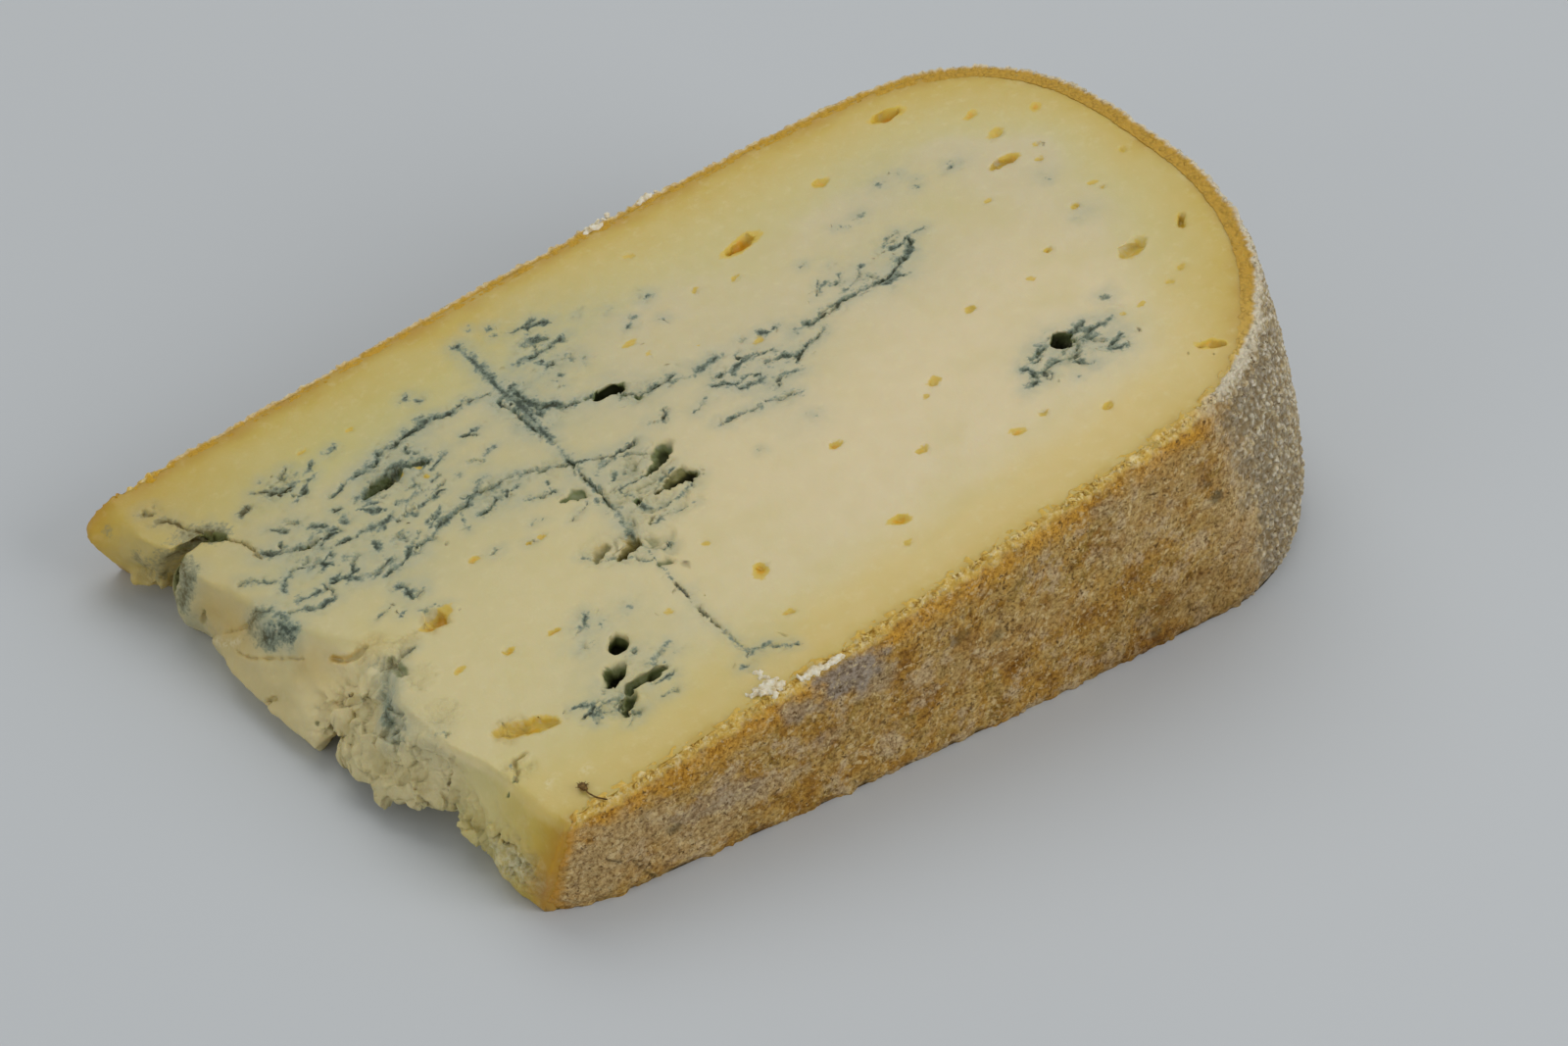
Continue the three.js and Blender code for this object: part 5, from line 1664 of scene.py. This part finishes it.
# Pale crumbs and edges of the torn end, and painted highlights on the near knob's edge.
curd_colour = curd.layer(lit, paint(236, 229, 196),
                         curd.times(curd.field("pale_and_highlight"), curd.step(curd.noise(0.6, 3), 0.42, 0.56, 0, 0.9)))
fine_grain = curd.bump(curd.noise(0.35, 3, 0.6), 0.05, 0.3)
coarse_grain = curd.bump(curd.times(curd.noise(1.1, 5, 0.65), curd.step(torn_amount, 0, 1, 0.08, 1.0)),
                         0.6, 0.7, fine_grain)
gloss = curd.sum(curd.step(curd.noise(2.2, 3), 0.3, 0.7, 0.32, 0.46), curd.times(torn_amount, 0.2),
                 curd.times(curd.step(mould_level, 0.4, 0.8), 0.25))
dull = curd.step(opening, 0.3, 0.9)
curd.settle(Base_Color=curd_colour, Roughness=gloss, Normal=coarse_grain,
            Specular_IOR_Level=curd.step(dull, 0, 1, 0.42, 0.04),
            Subsurface_Weight=curd.step(dull, 0, 1, 0.3, 0.04),
            Subsurface_Radius=(1.0, 0.6, 0.25), Subsurface_Scale=1.3 * MM)

# %% [markdown]
# ## The rind's finish
# The rind is mottled in ochre, olive and beige, with a dusty pinkish bloom, an orange band where the ripe
# paste shows through under the rim, and a greyer, paler heel. Sandy grain and dark specks cover it all.
# Shade is painted into the hollows of the relief and towards the floor at the heel end, and the heel's
# pebbles have paler tops and darker gaps as painted highlight and shade.

# %% Rind
crust = Finish("rind")
broad = crust.noise(6.5, 5, 0.65)
base = crust.bands(broad, [
    (0.34, (150, 105, 26)), (0.46, (190, 148, 66)), (0.55, (200, 170, 104)),
    (0.66, (166, 120, 36)),
])
olive = crust.layer(base, paint(150, 124, 48),
                    crust.step(crust.noise(3.2, 4, 0.65, 0.6), 0.52, 0.70, 0, 0.7))
brim_depth = crust.field("below_brim")
under_rim = crust.times(crust.step(brim_depth, 0.04, 0.12), crust.step(brim_depth, 0.60, 0.20))
pink_amount = crust.times(crust.step(crust.noise(4.2, 5, 0.7), 0.50, 0.62, 0, 0.8),
                          crust.step(under_rim, 0, 1, 1, 0.5))
pinkish = crust.layer(olive, paint(208, 186, 150), pink_amount)
band = crust.times(under_rim, crust.step(crust.noise(3.0, 4, 0.6), 0.34, 0.56, 0.15, 0.85))
orange = crust.layer(pinkish, paint(222, 168, 60), band)
heel_amount = crust.field("heel")
bloomed = crust.layer(orange, paint(200, 178, 136), crust.times(crust.field("bloom"), 0.8))
pebbles = crust.cells(0.85)
# The heel's pale tone, with pebble tops painted paler as highlight and the gaps between them darker as
# painted shade.
heel_tone_and_pebble_shading = crust.bands(pebbles, [
    (0.30, (242, 235, 216)), (0.55, (210, 197, 164)), (0.82, (166, 148, 112))])
pale_heel = crust.layer(bloomed, heel_tone_and_pebble_shading, crust.times(heel_amount, 0.92))
greyed = crust.layer(pale_heel, paint(164, 154, 144), crust.times(crust.field("grey"), 0.92))
sand_grain = crust.noise(0.62, 5, 0.75)
grained = crust.layer(greyed, crust.bands(sand_grain, [
    (0.36, (120, 92, 52)), (0.47, (204, 190, 164)), (0.60, (252, 248, 240))]),
                      crust.step(heel_amount, 0, 1, 0.84, 0.45), "MULTIPLY")
pale_grain = crust.times(crust.step(crust.noise(0.8, 4, 0.7), 0.53, 0.62),
                         crust.step(crust.noise(2.6, 3), 0.38, 0.56))
grainy = crust.layer(grained, paint(222, 198, 146), crust.times(pale_grain, 0.6))
speck = crust.times(crust.step(crust.noise(0.55, 2), 0.60, 0.67),
                    crust.step(crust.noise(3.0, 2), 0.40, 0.58))
specked = crust.layer(grainy, paint(84, 60, 26), crust.times(speck, 0.85))
shaded = crust.layer(specked, paint(108, 88, 56), crust.step(crust.field("cavity_shade"), 0.40, 1.0, 0, 0.6))
# Painted shade: the heel end darkens towards the floor, less on the pale heel itself.
painted_foot_shade = crust.times(crust.field("low"), crust.step(crust.noise(5.0, 4, 0.6), 0.3, 0.6, 0.35, 1.0),
                       crust.step(heel_amount, 0, 1, 1, 0.35))
shaded = crust.layer(shaded, (0.70, 0.65, 0.56, 1.0), painted_foot_shade, "MULTIPLY")
darkened = crust.layer(shaded, paint(62, 58, 38), crust.times(crust.field("dark"), 0.85))
rim_crust = crust.bands(crust.noise(0.9, 4, 0.7), [
    (0.36, (206, 160, 62)), (0.50, (230, 194, 100)), (0.64, (246, 224, 164))])
rim_crust = crust.layer(rim_crust, paint(234, 224, 200), crust.times(heel_amount, 0.85))
rim_ragged = crust.sum(brim_depth, crust.step(crust.noise(1.8, 3), 0.3, 0.7, -0.04, 0.05))
rim_pale = crust.layer(darkened, rim_crust, crust.step(rim_ragged, 0.20, 0.06, 0, 0.92))
inside_gold = crust.layer(paint(230, 190, 90), paint(206, 158, 34), crust.field("far"))
inner_strip = crust.layer(rim_pale, inside_gold, crust.times(crust.field("rim_inside"), 0.92))
ripe_edge = crust.times(crust.field("rim_orange"), crust.step(crust.noise(0.8, 3), 0.35, 0.5, 0.45, 0.9))
crust_colour = crust.layer(inner_strip, paint(194, 140, 44), ripe_edge)
sandy = crust.bump(sand_grain, 0.30, 0.9)
lumpy = crust.bump(crust.noise(1.3, 3, 0.6), 0.4, 0.6, sandy)
pebbled = crust.bump(crust.times(heel_amount, crust.step(pebbles, 0.15, 0.75, 1, 0)), 0.40, 0.8, lumpy)
crust.settle(Base_Color=crust_colour, Roughness=crust.step(sand_grain, 0.3, 0.7, 0.92, 0.72),
             Normal=pebbled, Specular_IOR_Level=0.22, Subsurface_Weight=0.08,
             Subsurface_Radius=(1.0, 0.5, 0.2), Subsurface_Scale=1.0 * MM)

# %% Crumbs and stalk
curd_white = Finish("dry crumb")
crumb_colour = curd_white.bands(curd_white.noise(0.8, 3, 0.6), [
    (0.35, (206, 186, 142)), (0.5, (228, 217, 188)), (0.7, (240, 235, 220))])
curd_white.settle(Base_Color=crumb_colour, Roughness=0.8, Specular_IOR_Level=0.25,
                  Normal=curd_white.bump(curd_white.noise(0.3, 3), 0.1, 0.6), Subsurface_Weight=0.15,
                  Subsurface_Radius=(1.0, 0.7, 0.4), Subsurface_Scale=0.6 * MM)
straw = Finish("stalk")
straw_colour = straw.bands(straw.noise(0.4, 3, 0.6), [
    (0.35, (74, 54, 26)), (0.6, (128, 98, 52)), (0.8, (156, 128, 76))])
straw.settle(Base_Color=straw_colour, Roughness=0.8, Specular_IOR_Level=0.2,
             Normal=straw.bump(straw.noise(0.15, 3), 0.06, 0.7))


def wear(piece, finish):
    piece.data.materials.clear()
    piece.data.materials.append(finish.material)
    hold(piece)
    bpy.ops.object.shade_smooth()


wear(paste, curd)
for piece in (rind, rim_crumbs):
    wear(piece, crust)
# The rim's inner edge is tucked under the paste. Smooth shading across it would draw a dark line there.
SHARP_FROM = math.radians(75)
hold(rind)
bpy.ops.object.shade_smooth_by_angle(angle=SHARP_FROM)
wear(tufts_piece, curd_white)
wear(stalk, straw)
print("finishes:", [material.name for material in bpy.data.materials])

# %% [markdown]
# ## Floor and light
# A plain pale floor, and soft light from a large panel above and a little behind, as under a cloudy
# window, with a weak fill from the front.

# %% Stage
start_clean()
FLOOR_SIZE = 4000
bpy.ops.mesh.primitive_plane_add(size=FLOOR_SIZE * MM, location=(0, 0, 0))
floor = bpy.context.object
floor.name = "floor"
floor_finish = Finish("floor")
floor_finish.settle(Base_Color=paint(200, 203, 205), Roughness=0.75, Specular_IOR_Level=0.2)
wear(floor, floor_finish)

sky = bpy.data.worlds.new("soft room")
bpy.context.scene.world = sky
sky.use_nodes = True
ROOM_COLOUR = (0.93, 0.97, 1.0, 1.0)
ROOM_LIGHT = 0.42
background = sky.node_tree.nodes["Background"]
background.inputs["Color"].default_value = ROOM_COLOUR
background.inputs["Strength"].default_value = ROOM_LIGHT


def soft_panel(name, place, size, power, colour):
    bpy.ops.object.light_add(type="AREA", location=[v * MM for v in place])
    lamp = bpy.context.object
    lamp.name = name
    lamp.data.shape = "DISK"
    lamp.data.size = size * MM
    lamp.data.energy = power
    lamp.data.color = colour
    aim = -Vector(place)
    lamp.rotation_euler = aim.to_track_quat("-Z", "Y").to_euler()


soft_panel("sky panel", (160, 480, 900), 900, 2.9, (1.0, 0.985, 0.96))
soft_panel("front fill", (420, -760, 420), 700, 3.6, (0.98, 0.985, 1.0))
soft_panel("left fill", (-860, -160, 260), 600, 1.15, (1.0, 0.99, 0.97))
bpy.context.scene.view_settings.view_transform = "Standard"
bpy.context.scene.view_settings.look = "None"

# %% [markdown]
# ## One body
# Each piece rides on the wedge's one body, and the wedge's own solid is hidden.

# %% One body
for piece, finish_slot in ((paste, "paste"), (rind, "rind"), (rim_crumbs, "rind"), (tufts_piece, "rind"),
                           (stalk, "stalk")):
    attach(piece, "root")
    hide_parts("cheese_wedge")
